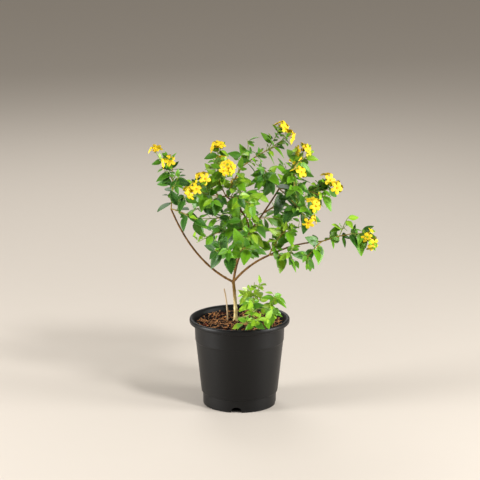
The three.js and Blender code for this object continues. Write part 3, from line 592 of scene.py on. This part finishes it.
def closed_faces(rings, spokes):
    """The faces over the two ends of a row of rings, and those between the rings."""
    count = rings * spokes
    ends = [tuple(reversed(range(spokes))), tuple(range(count - spokes, count))]
    return ends + ring_faces(rings, spokes)


def tube(centres, radii, sides, round_ends=True):
    """A tube through centres. Each radius is a number or one number for each side."""
    centres = np.asarray(centres, float)
    steps = np.diff(centres, axis=0)
    tangents = np.vstack([steps[:1], steps[:-1] + steps[1:], steps[-1:]])
    across = square_to(unit(tangents[0]), TUBE_SIDE)
    angles = np.arange(sides) * TURN / sides
    points = []
    for centre, tangent, radius in zip(centres, tangents, radii):
        direction = unit(tangent)
        across = square_to(direction, across)
        over = np.cross(direction, across)
        circle = np.outer(np.cos(angles), across) + np.outer(np.sin(angles), over)
        points.append(centre + circle * np.reshape(radius, (-1, 1)))
    faces = ring_faces(len(centres), sides)
    if round_ends:
        last = (len(centres) - 1) * sides
        bulge = unit(tangents[-1]) * float(np.mean(radii[-1])) * END_BULGE
        points.append(np.array([centres[0], centres[-1] + bulge]))
        foot = last + sides
        for j in range(sides):
            k = (j + 1) % sides
            faces.append((foot, k, j))
            faces.append((foot + 1, last + j, last + k))
    return np.vstack(points), faces


# Leaf blade: toothed at its edge, with raised panels between its side veins.
BLADE_ROWS = 22
BLADE_HALF_COLUMNS = 2
BLADE_FOOT = 0.07
BLADE_HALF_WIDTH = 0.25
BLADE_ROUNDNESS = (0.7, 0.85)
BLADE_SLANT = 0.1
TOOTH = 0.018
PANEL = 0.018
BLADE_THICKNESS = 0.3
BLADE_CURL = 0.32
VEIN_HEIGHT = 0.12
MIDRIB_WIDTHS = (0.9, 0.35)
MIDRIB_END = 0.97
MIDRIB_POINTS = 7
SIDE_VEIN_WIDTH = 0.35
SIDE_VEIN_PARTS = (0.0, 0.5, 0.86)
PETIOLE_RADIUS = 0.45
PETIOLE_FLARE = 1.3
PETIOLE_REACH = 0.1
LEAF_TONE_SPREAD = 0.5
PALE_BACK_TONE = 0.8


def blade_width(share):
    """Half the drawn leaf's width at a share of its length, without its teeth."""
    inner = np.clip((share - BLADE_FOOT) / (1 - BLADE_FOOT), 0, 1)
    return BLADE_HALF_WIDTH * np.sin(pi * inner ** BLADE_ROUNDNESS[0]) ** BLADE_ROUNDNESS[1]


def blade_template():
    """The blade's points and faces, with all lengths as shares of the leaf's.

    A point has its place along and across and its height, and then 1, or 0 where the blade's two
    sides meet.
    """
    places = [(BLADE_FOOT, 0.0, 0.0, 0)]
    width = 2 * BLADE_HALF_COLUMNS + 1
    for row in range(1, BLADE_ROWS):
        share = BLADE_FOOT + (1 - BLADE_FOOT) * row / BLADE_ROWS
        slant = BLADE_SLANT * min(1, row / 3) * (1 - share)
        vein = row % 2 == 1
        for column in range(-BLADE_HALF_COLUMNS, BLADE_HALF_COLUMNS + 1):
            part = abs(column) / BLADE_HALF_COLUMNS
            along = share + slant * part
            half = float(blade_width(along)) * part
            edge = part == 1
            if edge:
                half += TOOTH if vein else -TOOTH * 0.5
            panel = 0 if edge or column == 0 or vein else PANEL
            places.append((along, copysign(half, column), panel, 0 if edge else 1))
    places.append((1.0, 0.0, 0.0, 0))
    faces = []
    for column in range(width - 1):
        faces.append((0, 1 + column, 2 + column))
        for row in range(BLADE_ROWS - 2):
            a = 1 + row * width + column
            faces.append((a, a + width, a + width + 1, a + 1))
        a = 1 + (BLADE_ROWS - 2) * width + column
        faces.append((a, len(places) - 1, a + 1))
    return np.array(places), faces


def vein_template():
    """Midrib and side veins: each point's middle on the blade, its way off that, and the faces."""
    places = []
    faces = []

    def ribbon(line, widths):
        first = len(places)
        for (along, across), (run, rise), width in zip(line, tangents(line), widths):
            places.append((along - rise * width, across + run * width))
            places.append((along + rise * width, across - run * width))
        for i in range(first, len(places) - 2, 2):
            faces.append((i, i + 1, i + 3, i + 2))

    def tangents(line):
        steps = np.diff(np.array(line), axis=0)
        steps = np.vstack([steps, steps[-1:]])
        return steps / np.linalg.norm(steps, axis=1)[:, None]

    midrib = [(share, 0.0) for share in np.linspace(BLADE_FOOT, MIDRIB_END, MIDRIB_POINTS)]
    ribbon(midrib, np.linspace(*MIDRIB_WIDTHS, MIDRIB_POINTS) / 2)
    for row in range(3, BLADE_ROWS - 3, 2):
        share = BLADE_FOOT + (1 - BLADE_FOOT) * row / BLADE_ROWS
        for way in (1, -1):
            line = []
            for part in SIDE_VEIN_PARTS:
                along = share + BLADE_SLANT * (1 - share) * part
                line.append((along, way * float(blade_width(along)) * part))
            ribbon(line, [SIDE_VEIN_WIDTH / 2, SIDE_VEIN_WIDTH / 2, SIDE_VEIN_WIDTH / 4])
    places = np.array(places)
    middles = np.repeat((places[0::2] + places[1::2]) / 2, 2, axis=0)
    return middles, places - middles, faces


def flipped(faces):
    return [face[::-1] for face in faces]


BLADE_PLACES, BLADE_FACES = blade_template()
BLADE_BACK_FACES = flipped(BLADE_FACES)
VEIN_MIDDLES, VEIN_SPREADS, VEIN_FACES = vein_template()
VEIN_BACK_FACES = flipped(VEIN_FACES)


def leaf_surface(leaf, along, across, height, curl):
    """Points over a leaf's blade: fold, arch and a slight curl of its own."""
    lift = LEAF_FOLD * np.abs(across) / LEAF_SHOULDER[1] - LEAF_ARCH * along * along + height
    lift = lift + curl[0] * across * along + curl[1] * np.sin(pi * along) * np.abs(across)
    offset = np.outer(along, leaf.along) + np.outer(across, leaf.side) + np.outer(lift, leaf.up)
    return leaf.root + offset * leaf.length


def draw_leaf(leaf, sheaves, random):
    along, across, panel, inside = BLADE_PLACES.T
    curl = (BLADE_CURL * (random() - 0.5), BLADE_CURL * (random() - 0.3))
    top = leaf_surface(leaf, along, across, panel, curl)
    thickness = BLADE_THICKNESS / leaf.length
    bottom = leaf_surface(leaf, along, across, panel - thickness * inside, curl)
    tone = leaf.tint + LEAF_TONE_SPREAD * (random() - 0.5)
    tint = next(name for name, _, highest in LEAF_TINTS if tone < highest)
    sheaves["leaves_" + tint].add(top, BLADE_FACES)
    back = "pale" if leaf.tint > PALE_BACK_TONE else "dull"
    sheaves["leaf_backs_" + back].add(bottom, BLADE_BACK_FACES)
    # Veins keep their real width on a leaf of any length.
    along, across = (VEIN_MIDDLES + VEIN_SPREADS / leaf.length).T
    veined = "leaf_veins_dark" if tint in DARK_TINTS else "leaf_veins"
    lift = VEIN_HEIGHT / leaf.length
    for height, faces in ((lift, VEIN_FACES), (-lift - thickness, VEIN_BACK_FACES)):
        sheaves[veined].add(leaf_surface(leaf, along, across, height, curl), faces)
    shares = np.linspace(0, PETIOLE_REACH, 4)
    line = leaf_surface(leaf, shares, shares * 0, -thickness, curl)
    sheaves["young_twigs"].add(*tube(line, [PETIOLE_RADIUS * PETIOLE_FLARE] + [PETIOLE_RADIUS] * 3, 5))


# Florets: lobed limbs on slender tubes, with buds in their middle and bracts under them.
LIMB_SPOKES = 40
LIMB_REACH = (1.05, 0.14)
LIMB_SINK = 0.5
LIMB_RINGS = ((0.1, -1.4), (0.3, -0.5), (0.6, 0.35), (0.86, 0.2), (1.0, -0.9))
THROAT_RINGS = ((0.0, -2.2), (0.13, -1.1), (0.26, -0.5))
LOBE_NOTCH = 4.8
LOBE_POINT = 0.6
LOBE_RUFFLE = 0.5
LOBE_SIDE = np.array([0.2, 0.3, 1.0])
THROAT_LIFT = 0.06
TUBE_RADII = (0.5, 0.55, 0.8, 1.1)
TUBE_FOOT = 0.4
TUBE_BOWS = ((0.4, 1.6), (0.8, 0.48))
TUBE_END = 1.4
INNER_TILT = 0.35
INNER_SIZE = (0.55, 0.15)
INNER_LENGTH = 14
BUD_COUNT = 7
BUD_LENGTH = 8.5
BUD_SHARES = (0.75, 0.35)
BUD_FOOT = 0.3
BUD_TURN = 2.4
BUD_TILTS = (0.12, 0.16, 0.1)
BUD_PROFILE = ((0.0, 0.45), (0.45, 0.5), (0.68, 1.0), (0.84, 1.25), (0.95, 0.8))
BRACT_COUNT = 7
BRACT_LENGTH = 6
BRACT_TURN_SPREAD = 0.4
BRACT_OUT = 0.8
BRACT_RISE = 0.55
BRACT_SINK = 0.1
BRACT_KEEL = 0.15
BRACT_PROFILE = ((0.0, 0.5), (0.45, 0.9), (1.0, 0.05))


def floret_rings(mouth, direction, flat, turn, rings, reach):
    over = np.cross(direction, flat)
    points = []
    for part, height in rings:
        for j in range(LIMB_SPOKES):
            angle = TURN * j / LIMB_SPOKES
            lobe = abs(cos(FLORET_LOBES * (angle - turn) / 2)) ** LOBE_POINT
            edge = LOBE_NOTCH + (FLORET_RADIUS * reach - LOBE_NOTCH) * lobe
            radius = part * (edge * part + LOBE_NOTCH * (1 - part))
            ruffle = LOBE_RUFFLE * part * part * sin(3 * FLORET_LOBES * angle + turn)
            points.append(mouth + leaning(flat, over, angle) * radius + direction * (height + ruffle))
    return points


def draw_floret(head, direction, spin, size, length, sheaves):
    """One open floret: its limb, its throat and the slender tube that carries it."""
    tip, axis = head["tip"], head["axis"]
    mouth = tip + direction * length
    square = square_to(direction, LOBE_SIDE)
    turn = spin * TURN / FLORET_LOBES
    limb = floret_rings(mouth, direction, square, turn, LIMB_RINGS, size)
    sheaves["petals"].add(limb, ring_faces(len(LIMB_RINGS), LIMB_SPOKES))
    throat = floret_rings(mouth + direction * THROAT_LIFT, direction, square, turn, THROAT_RINGS, size)
    sheaves["throats"].add(throat, ring_faces(len(THROAT_RINGS), LIMB_SPOKES))
    foot = tip + axis * TUBE_FOOT
    line = [foot]
    for share, bow in TUBE_BOWS:
        line.append(foot * (1 - share) + mouth * share + axis * bow)
    line.append(mouth - direction * TUBE_END)
    sheaves["floret_tubes"].add(*tube(line, TUBE_RADII, 8, False))


def draw_head(head, sheaves, random):
    tip, axis, flat = head["tip"], head["axis"], head["flat"]
    for direction, spin in head["florets"]:
        draw_floret(head, direction, spin, drawn(LIMB_REACH, random), FLORET_LENGTH - LIMB_SINK, sheaves)
    tilt = INNER_TILT * drawn(TILT_SPAN, random)
    inner = leaning(axis, turned(flat, axis, TURN * random()), tilt)
    draw_floret(head, inner, random(), drawn(INNER_SIZE, random), INNER_LENGTH, sheaves)
    for i in range(BUD_COUNT):
        around = i * BUD_TURN + random()
        tilt = BUD_TILTS[0] + BUD_TILTS[1] * sqrt(i) + BUD_TILTS[2] * random()
        direction = leaning(axis, turned(flat, axis, around), tilt)
        length = BUD_LENGTH * drawn(BUD_SHARES, random)
        line = [tip + axis * BUD_FOOT + direction * length * part for part, _ in BUD_PROFILE]
        sheaves["buds"].add(*tube(line, [radius for _, radius in BUD_PROFILE], 8))
    for i in range(BRACT_COUNT):
        direction = turned(flat, axis, i * TURN / BRACT_COUNT + random() * BRACT_TURN_SPREAD)
        side = np.cross(axis, direction)
        points = []
        for part, width in BRACT_PROFILE:
            rise = axis * BRACT_LENGTH * (part * BRACT_RISE - BRACT_SINK)
            centre = tip + direction * BRACT_LENGTH * part * BRACT_OUT + rise
            points += [centre - side * width, centre + axis * BRACT_KEEL, centre + side * width]
        faces = [(a, a + 1, a + 4, a + 3) for a in (0, 1, 3, 4)]
        sheaves["bracts"].add(points, faces)


# Twigs: slightly squared young wood with a swelling at each pair of leaves.
TWIG_RING_SPACING = 3.5
TWIG_LEAST_RINGS = 4
TWIG_DRAWN_SIDES = 8
TWIG_DRAWN_SHARE = 0.86
TWIG_SQUARENESS = 0.08
NODE_SWELL = 0.35
NODE_REACH = 2.2


def draw_twig(twig, sheaf):
    curve = twig["curve"]
    rings = max(TWIG_LEAST_RINGS, ceil(curve.length / TWIG_RING_SPACING))
    angles = np.arange(TWIG_DRAWN_SIDES) * TURN / TWIG_DRAWN_SIDES
    corner = 1 + TWIG_SQUARENESS * np.cos(4 * angles)
    centres = []
    radii = []
    foot, tip = twig["radii"]
    for i in range(rings + 1):
        share = i / rings
        centres.append(curve.step_point(twig["steps"], share))
        near = min([abs(share - node) * curve.length for node in twig["nodes"]] or [NODE_REACH])
        swell = 1 + NODE_SWELL * max(0, 1 - near / NODE_REACH)
        radii.append(corner * TWIG_DRAWN_SHARE * (foot + (tip - foot) * share) * swell)
    sheaf.add(*tube(centres, radii, TWIG_DRAWN_SIDES))


# Bark: fissured along the limb, with a ring and leaf scars at each old pair of leaves.
BARK_SIDES = 20
BARK_RING_SPACING = 1.6
BARK_RELIEF = 0.11
BARK_FREQUENCY = (0.9, 0.16)
BARK_FINER = 2.7
BARK_FINER_SHARE = 0.5
KNOB_FREQUENCY = 0.35
KNOB_SHARES = (0.6, 0.8)
SCAR_SPACING = 19
STUB_SCAR_SPACING = 31
SCAR_REACH = 1.8
SCAR_SWELL = 0.22


def draw_limb(limb, sheaf):
    curve, seed, scars = limb["curve"], limb["seed"], limb["scars"]
    rings = ceil(curve.length / BARK_RING_SPACING)
    angles = np.arange(BARK_SIDES) * TURN / BARK_SIDES
    centres = []
    radii = []
    for i in range(rings + 1):
        share = i / rings
        run = share * curve.length
        centres.append(curve.at(share))
        radius = limb["radius_at"](share)
        node = abs((run + seed * 7) % scars - scars / 2)
        swell = SCAR_SWELL * max(0, 1 - node / SCAR_REACH)
        around = []
        for angle in angles:
            place = Vector((cos(angle) * radius, sin(angle) * radius, 0)) * BARK_FREQUENCY[0]
            place.z = run * BARK_FREQUENCY[1] + seed * 13
            fissure = noise.noise(place) + BARK_FINER_SHARE * noise.noise(place * BARK_FINER)
            knob = max(0, noise.noise(Vector((angle, run * KNOB_FREQUENCY, seed))))
            scar = swell * (KNOB_SHARES[0] + KNOB_SHARES[1] * knob)
            around.append(radius * (1 + BARK_RELIEF * fissure + scar))
        radii.append(np.array(around))
    sheaf.add(*tube(centres, radii, BARK_SIDES))


# Potting mix: a bumpy bed, with chips of bark and husk and loose fibres lying on it.
BED_RINGS = 30
BED_SPOKES = 96
BED_ROUGHNESS = 2.6
BED_FREQUENCY = 0.11
BED_FINER = ((3.1, 0.6), (8, 0.3))
BED_SINK = 0.8
BED_CROWDING = 1.2
MOUND_HEIGHT = 1.5
MOUND_REACH = 30
CHIP_COUNT = 900
CHIP_SIZES = (3, 14)
CHIP_CORNERS = 5
CHIP_RISE = (0.3, 1.6)
CHIP_LEAN = 1.4
CHIP_UPRIGHT = 0.4
CHIP_WIDTH = (0.2, 0.3)
CHIP_THICKNESS = (0.06, 0.08)
CHIP_REACH = (0.38, 0.24)
FIBRE_COUNT = 300
FIBRE_LENGTHS = (8, 30)
FIBRE_POINTS = 6
FIBRE_RISE = (1.0, 2.2)
FIBRE_BEND = 0.8
FIBRE_RADII = (0.3, 0.5, 0.2)


def bed_height(x, y):
    place = Vector((x, y, 0)) * BED_FREQUENCY
    rough = noise.noise(place)
    for finer, share in BED_FINER:
        rough += share * noise.noise(place * finer)
    from_trunk = (x - TRUNK_FOOT[0]) ** 2 + (y - TRUNK_FOOT[1]) ** 2
    mound = MOUND_HEIGHT * exp(-from_trunk / MOUND_REACH ** 2)
    return SOIL_LEVEL - BED_SINK + BED_ROUGHNESS * rough + mound


def draw_bed(sheaf):
    points = []
    for radius, height in MIX_OUTLINE:
        points += ring(radius, height, BED_SPOKES)
    for i in range(BED_RINGS):
        radius = MIX_RADIUS * (1 - (i / BED_RINGS) ** BED_CROWDING)
        points += [(x, y, bed_height(x, y)) for x, y, _ in ring(radius, 0, BED_SPOKES)]
    rings = len(points) // BED_SPOKES
    points.append((0, 0, bed_height(0, 0)))
    faces = ring_faces(rings, BED_SPOKES)
    last = (rings - 1) * BED_SPOKES
    faces += [(last + j, last + (j + 1) % BED_SPOKES, len(points) - 1) for j in range(BED_SPOKES)]
    faces.append(tuple(reversed(range(BED_SPOKES))))
    sheaf.add(points, faces)


def random_place(random, reach):
    radius = reach * sqrt(random())
    angle = TURN * random()
    return radius * cos(angle), radius * sin(angle)


def draw_chip(sheaf, random):
    """A flat shard with a crooked outline, lying roughly on the bed."""
    size = CHIP_SIZES[0] + (CHIP_SIZES[1] - CHIP_SIZES[0]) * random() ** 2
    x, y = random_place(random, MIX_RADIUS - size / 2)
    centre = point((x, y, bed_height(x, y) + CHIP_RISE[0] + CHIP_RISE[1] * random()))
    lean = [CHIP_LEAN * (random() - 0.5) for _ in range(2)]
    axis = unit(point((*lean, CHIP_UPRIGHT + random())))
    long = turned(square_to(axis, point((1, 0, 0))), axis, TURN * random())
    wide = np.cross(axis, long) * drawn(CHIP_WIDTH, random)
    thick = axis * size * drawn(CHIP_THICKNESS, random)
    points = []
    for level in (-1, 1):
        for j in range(CHIP_CORNERS):
            angle = TURN * (j + 0.5 * random()) / CHIP_CORNERS
            reach = size * drawn(CHIP_REACH, random)
            points.append(centre + leaning(long, wide, angle) * reach + thick * level)
    sheaf.add(points, closed_faces(2, CHIP_CORNERS))


def draw_fibre(sheaf, random):
    length = FIBRE_LENGTHS[0] + (FIBRE_LENGTHS[1] - FIBRE_LENGTHS[0]) * random() ** 1.5
    x, y = random_place(random, MIX_RADIUS - 5)
    heading = TURN * random()
    line = []
    for _ in range(FIBRE_POINTS):
        rise = drawn(FIBRE_RISE, random)
        if hypot(x, y) < MIX_RADIUS - 1:
            line.append((x, y, bed_height(x, y) + rise))
        heading += FIBRE_BEND * (random() - 0.5)
        x += cos(heading) * length / (FIBRE_POINTS - 1)
        y += sin(heading) * length / (FIBRE_POINTS - 1)
    if len(line) > 2:
        first, middle, last = FIBRE_RADII
        sheaf.add(*tube(line, [first] + [middle] * (len(line) - 2) + [last], 5, False))


# Pot: turned from its profile, with its corners rounded and its drain notches cut.
ROUND_STEPS = 5
ARCH_STEPS = 12


def rounded(corners):
    """An outline whose corners, given as radius, height and rounding, are turned to arcs."""
    outline = []
    for i, (radius, height, rounding) in enumerate(corners):
        here = np.array((radius, height), float)
        if not rounding:
            outline.append(here)
            continue
        before = np.array(corners[i - 1][:2], float) - here
        after = np.array(corners[(i + 1) % len(corners)][:2], float) - here
        start = here + before / np.linalg.norm(before) * rounding
        end = here + after / np.linalg.norm(after) * rounding
        for step in range(ROUND_STEPS + 1):
            share = step / ROUND_STEPS
            outline.append(start * (1 - share) ** 2 + here * 2 * share * (1 - share) + end * share ** 2)
    return outline


def turned_mesh(outline, sides):
    points = []
    for radius, height in outline:
        points += ring(radius, height, sides)
    return points, closed_faces(len(outline), sides)


def drain_cutter(angle, inner_radius):
    """The closed shape of one arched notch, from a radius out to beyond the pot's wall."""
    half = DRAIN_WIDTH / 2
    springing = DRAIN_HEIGHT / 3
    arch = [(-half, -2), (half, -2)]
    for step in range(ARCH_STEPS + 1):
        turn = pi * step / ARCH_STEPS
        arch.append((half * cos(turn), springing + (DRAIN_HEIGHT - springing) * sin(turn)))
    out = point((cos(angle), sin(angle), 0))
    side = np.cross(UP, out)
    points = []
    for reach in (inner_radius, DRAIN_OUTER_RADIUS):
        points += [out * reach + side * across + UP * height for across, height in arch]
    return points, closed_faces(2, len(arch))


def cut(made, points, faces):
    """Cuts a closed shape out of a piece."""
    mesh = bpy.data.meshes.new("cutter")
    mesh.from_pydata([tuple(place * MM) for place in points], [], faces)
    cutter = add_object("cutter", mesh)
    change = made.modifiers.new("cut", "BOOLEAN")
    change.object = cutter
    change.solver = "EXACT"
    bpy.context.view_layer.update()
    result = bpy.data.meshes.new_from_object(made.evaluated_get(bpy.context.evaluated_depsgraph_get()))
    made.modifiers.clear()
    made.data = result
    bpy.data.objects.remove(cutter)
    bpy.data.meshes.remove(mesh)


# Materials. Numbers that are the same all over are set on the shader itself.
GRAIN_DETAIL = 5
MOTTLE_DETAIL = 6
NOISE_RANGE = (0.3, 0.7)


def srgb(code):
    """A colour as the shader wants it, from its usual six-digit code."""
    parts = [int(code[i:i + 2], 16) / 255 for i in (0, 2, 4)]
    linear = [part / 12.92 if part < 0.04045 else ((part + 0.055) / 1.055) ** 2.4 for part in parts]
    return (*linear, 1)


def shader_input(made, name):
    return made.node_tree.nodes["Principled BSDF"].inputs[name]


def drive(made, name, output):
    """Links an output of a material's own nodes to an input of its shader."""
    made.node_tree.links.new(output, shader_input(made, name))


def add_node(made, kind, numbers=None, sources=None):
    """A new node of a material, with its numbers set and its inputs linked to other outputs."""
    node = made.node_tree.nodes.new("ShaderNode" + kind)
    for name, number in (numbers or {}).items():
        node.inputs[name].default_value = number
    for name, output in (sources or {}).items():
        made.node_tree.links.new(output, node.inputs[name])
    return node


def material(name, codes, roughness, scale, bump, mottle=None, depth=0.2, spread=0.12, gloss=0.3):
    """A matt or satin surface whose roughness and relief vary with fine noise.

    A surface with several colours, from dark to light, is mottled: mottle then gives the scale of
    the patches and their stretch along the height. The depth of the relief is in millimetres.
    """
    made = bpy.data.materials.new(name)
    made.use_nodes = True
    shader_input(made, "Specular IOR Level").default_value = gloss
    places = {"Vector": add_node(made, "TexCoord").outputs["Object"]}
    grain = add_node(made, "TexNoise", {"Scale": scale, "Detail": GRAIN_DETAIL}, places).outputs["Fac"]
    limits = {"From Min": NOISE_RANGE[0], "From Max": NOISE_RANGE[1]}
    limits.update({"To Min": roughness - spread / 2, "To Max": roughness + spread / 2})
    rough = add_node(made, "MapRange", limits, {"Value": grain})
    drive(made, "Roughness", rough.outputs["Result"])
    relief = add_node(made, "Bump", {"Strength": bump, "Distance": depth * MM}, {"Height": grain})
    drive(made, "Normal", relief.outputs["Normal"])
    if mottle:
        mapping = add_node(made, "Mapping", {"Scale": (1, 1, mottle[1])}, places)
        patches = {"Vector": mapping.outputs["Vector"]}
        patch = add_node(made, "TexNoise", {"Scale": mottle[0], "Detail": MOTTLE_DETAIL}, patches)
        ramp = add_node(made, "ValToRGB", None, {"Fac": patch.outputs["Fac"]})
        colors = codes.split()
        steps = ramp.color_ramp.elements
        while len(steps) < len(colors):
            steps.new(0.5)
        for i, color in enumerate(colors):
            steps[i].position = NOISE_RANGE[0] + (NOISE_RANGE[1] - NOISE_RANGE[0]) * i / (len(colors) - 1)
            steps[i].color = srgb(color)
        drive(made, "Base Color", ramp.outputs["Color"])
    else:
        shader_input(made, "Base Color").default_value = srgb(codes)
    return made


def darkened_above(made, code, foot, top):
    """Turns a mottled material's colour to another one between two heights."""
    base = shader_input(made, "Base Color")
    height = add_node(made, "SeparateXYZ", None, {"Vector": add_node(made, "TexCoord").outputs["Object"]})
    limits = {"From Min": foot * MM, "From Max": top * MM}
    share = add_node(made, "MapRange", limits, {"Value": height.outputs["Z"]})
    # The mixing node's colours are its inputs 6 and 7 and its output 2.
    mix = made.node_tree.nodes.new("ShaderNodeMix")
    mix.data_type = "RGBA"
    mix.inputs[7].default_value = srgb(code)
    made.node_tree.links.new(share.outputs["Result"], mix.inputs[0])
    made.node_tree.links.new(base.links[0].from_socket, mix.inputs[6])
    drive(made, "Base Color", mix.outputs[2])


# Each tint of the leaves: its name, its colour and the highest tone that it is dealt to. The deep and dark
# tints stand partly for painted shade.
LEAF_TINTS = [
    ("deep", "1a4a02", 0.14),
    ("dark", "3a6e02", 0.32),
    ("green", "629804", 0.56),
    ("bright", "80ac10", 0.84),
    ("fresh", "7a9a12", 1.14),
    ("pale", "d2e0a4", inf),
]
DARK_TINTS = ("deep", "dark", "green")
looks = {}
for name, code, _ in LEAF_TINTS:
    looks["leaves_" + name] = material("leaf_" + name, code, 0.42, 900, 0.35, gloss=0.4)

# The plant's other small kinds: colour, roughness, scale of the grain, relief and mottling.
SMALL_KINDS = {
    "leaf_backs_dull": ("5f8a38", 0.7, 900, 0.3),
    "leaf_backs_pale": ("a3c468", 0.7, 900, 0.3),
    "leaf_veins": ("98bc3c", 0.6, 900, 0.2),
    "leaf_veins_dark": ("4c7c22", 0.6, 900, 0.2),
    "young_twigs": ("7d8f38", 0.65, 1200, 0.3),
    "stems": ("6a5a20 947e34 a28a40", 0.75, 1200, 0.4, (160, 1)),
    "petals": ("d8bc10", 0.55, 1500, 0.15),
    "throats": ("dc8412", 0.6, 1500, 0.2),
    "floret_tubes": ("e4bc20", 0.6, 1500, 0.1),
    "buds": ("e0b414", 0.6, 1500, 0.3),
    "bracts": ("5f9238", 0.7, 1200, 0.2),
}
for kind, look in SMALL_KINDS.items():
    looks[kind] = material(kind, *look)

# The crown's masses and the fresh shoots from the trunk's foot each make pieces of their own.
DRAW_SEED = 77
limbs = lay_out_limbs()
plans = grow_foliage(limbs)
draw_random = seeded_random(DRAW_SEED)
for group, prefix, slot in (("foliage", "", "foliage"), ("basal_shoot", "basal_", "young_foliage")):
    sheaves = {kind: Sheaf() for kind in looks}
    members = [plan for plan in plans if plan.name.startswith(group)]
    for plan in members:
        for leaf in plan.leaves:
            draw_leaf(leaf, sheaves, draw_random)
        for head in plan.heads:
            draw_head(head, sheaves, draw_random)
        for twig in plan.twigs:
            woody = twig is plan.stem and group == "foliage"
            draw_twig(twig, sheaves["stems" if woody else "young_twigs"])
    for kind, sheaf in sheaves.items():
        if sheaf.count:
            sheaf.piece(prefix + kind, looks[kind], slot, [plan.name for plan in members])

# Trunk, boughs and dead stub. The trunk is pale at its foot and darker towards the fork.
TRUNK_DARKER_TOP = ("644818", 210, 246)
bark = material("bark", "422c0e 68481c 805c2a", 0.85, 1400, 0.8, (260, 0.3), 0.4)
old_bark = material("old_bark", "9c8650 cdb87c ecdfae", 0.9, 1400, 0.8, (200, 0.35), 0.5)
darkened_above(old_bark, *TRUNK_DARKER_TOP)
green_bark = material("green_bark", "7a7a3c 8fa24c a9b765", 0.7, 1400, 0.5, (220, 1))
dry_bark = material("dry_stick", "7d6447 ad936e cbb697", 0.9, 1400, 0.8, (180, 0.2), 0.5)
WOODY_PIECES = [
    ("trunk_bark", old_bark, "bark", ["trunk"]),
    ("bough_bark", bark, "bark", [name for name, *_ in LIMBS if name not in ("trunk", "bough_basal")]),
    ("basal_stem", green_bark, "young_stem", ["bough_basal"]),
    ("dead_stub_bark", dry_bark, "dry_wood", ["dead_stub"]),
]
for name, look, slot, members in WOODY_PIECES:
    sheaf = Sheaf()
    for member in members:
        draw_limb(limbs[member], sheaf)
    sheaf.piece(name, look, slot, members)

# Each kind of chip: its name, its colours and the highest chance draw that it is dealt to. The near-black
# dark chips are partly dark mix and partly painted shade between the lighter chips.
CHIP_KINDS = [
    ("dark", "060201 1e0d06", 0.75),
    ("red", "3a140a 7c3c20", 0.92),
    ("tan", "9a5e32 e0a468", 1),
]
MIX_SEED = 5
bed = Sheaf()
draw_bed(bed)
# The bed is near black: dark earth, with painted shade in the gaps between the chips.
earth_and_gap_shade = material("mix_bed", "020101 080403 180c08", 0.95, 900, 1.0, (320, 1), 1)
mix = bed.piece("mix_bed", earth_and_gap_shade, "potting_mix", ["potting_mix"], False)
chips = {name: Sheaf() for name, _, _ in CHIP_KINDS}
fibres = Sheaf()
mix_random = seeded_random(MIX_SEED)
for _ in range(CHIP_COUNT):
    pick = mix_random()
    draw_chip(chips[next(name for name, _, highest in CHIP_KINDS if pick < highest)], mix_random)
for _ in range(FIBRE_COUNT):
    draw_fibre(fibres, mix_random)
for name, codes, _ in CHIP_KINDS:
    look = material("chip_" + name, codes, 0.9, 1800, 0.8, (420, 1), 0.4)
    chips[name].piece("mix_chips_" + name, look, "potting_mix", (), False)
fibres.piece("mix_fibres", material("fibre", "c48a58", 0.9, 1500, 0.3), "potting_mix")

# Pot. The mix is hollowed behind each drain notch, so the notches look dark.
MIX_NOTCH_RADIUS = 46
SHARP_ANGLE = radians(40)
pot = Sheaf()
pot.add(*turned_mesh(rounded(POT_OUTLINE), POT_SIDES))
plastic = material("pot_plastic", "080808", 0.4, 700, 0.12, depth=0.3, spread=0.1, gloss=0.24)
shell = pot.piece("pot_shell", plastic, "pot", ["pot"])
for i in range(DRAIN_COUNT):
    angle = radians(DRAIN_FIRST_ANGLE) + i * TURN / DRAIN_COUNT
    cut(shell, *drain_cutter(angle, DRAIN_INNER_RADIUS))
    cut(mix, *drain_cutter(angle, MIX_NOTCH_RADIUS))
shell.data.polygons.foreach_set("use_smooth", [True] * len(shell.data.polygons))
shell.data.set_sharp_from_angle(angle=SHARP_ANGLE)

# The stage: a pale floor, soft lights, and the camera where the photograph was taken from.
FLOOR_HALF = 30
LIGHTS = [
    # place, size and power of each soft light
    ((2.0, -2.2, 2.9), 0.7, 105),
    ((-2.6, -0.8, 0.5), 1.2, 128),
    ((2.6, -0.7, 0.5), 1.1, 96),
    ((-0.5, 2.4, 2.3), 1.6, 30),
]
LIGHTS_AIM = Vector((0, 0, 0.35))
SKY_COLOR = (1.0, 0.95, 0.87, 1)
SKY_STRENGTH = 0.3
CAMERA_PLACE = (0.0009, -4.6, 1.48)
CAMERA_PITCH = radians(90 - 13.78)
CAMERA_LENS = 171.3
CAMERA_REACH = 100

mesh = bpy.data.meshes.new("floor")
corners = [(-1, -1), (1, -1), (1, 1), (-1, 1)]
mesh.from_pydata([(x * FLOOR_HALF, y * FLOOR_HALF, 0) for x, y in corners], [], [(0, 1, 2, 3)])
mesh.materials.append(material("floor", "cfc6bb", 0.9, 20, 0.02))
floor = add_object("floor", mesh)

for i, (place, size, power) in enumerate(LIGHTS):
    light = bpy.data.lights.new(f"light_{i}", "AREA")
    light.shape = "DISK"
    light.size = size
    light.energy = power
    lamp = add_object(f"light_{i}", light)
    lamp.location = place
    lamp.rotation_euler = (LIGHTS_AIM - Vector(place)).to_track_quat("-Z", "Y").to_euler()

world = bpy.data.worlds.new("sky")
world.use_nodes = True
world.node_tree.nodes["Background"].inputs["Color"].default_value = SKY_COLOR
world.node_tree.nodes["Background"].inputs["Strength"].default_value = SKY_STRENGTH
bpy.context.scene.world = world
bpy.context.scene.view_settings.view_transform = "Standard"

camera = add_object("camera", bpy.data.cameras.new("camera"))
camera.location = CAMERA_PLACE
camera.rotation_euler = (CAMERA_PITCH, 0, 0)
camera.data.lens = CAMERA_LENS
camera.data.sensor_width = 36
camera.data.clip_end = CAMERA_REACH
bpy.context.scene.camera = camera
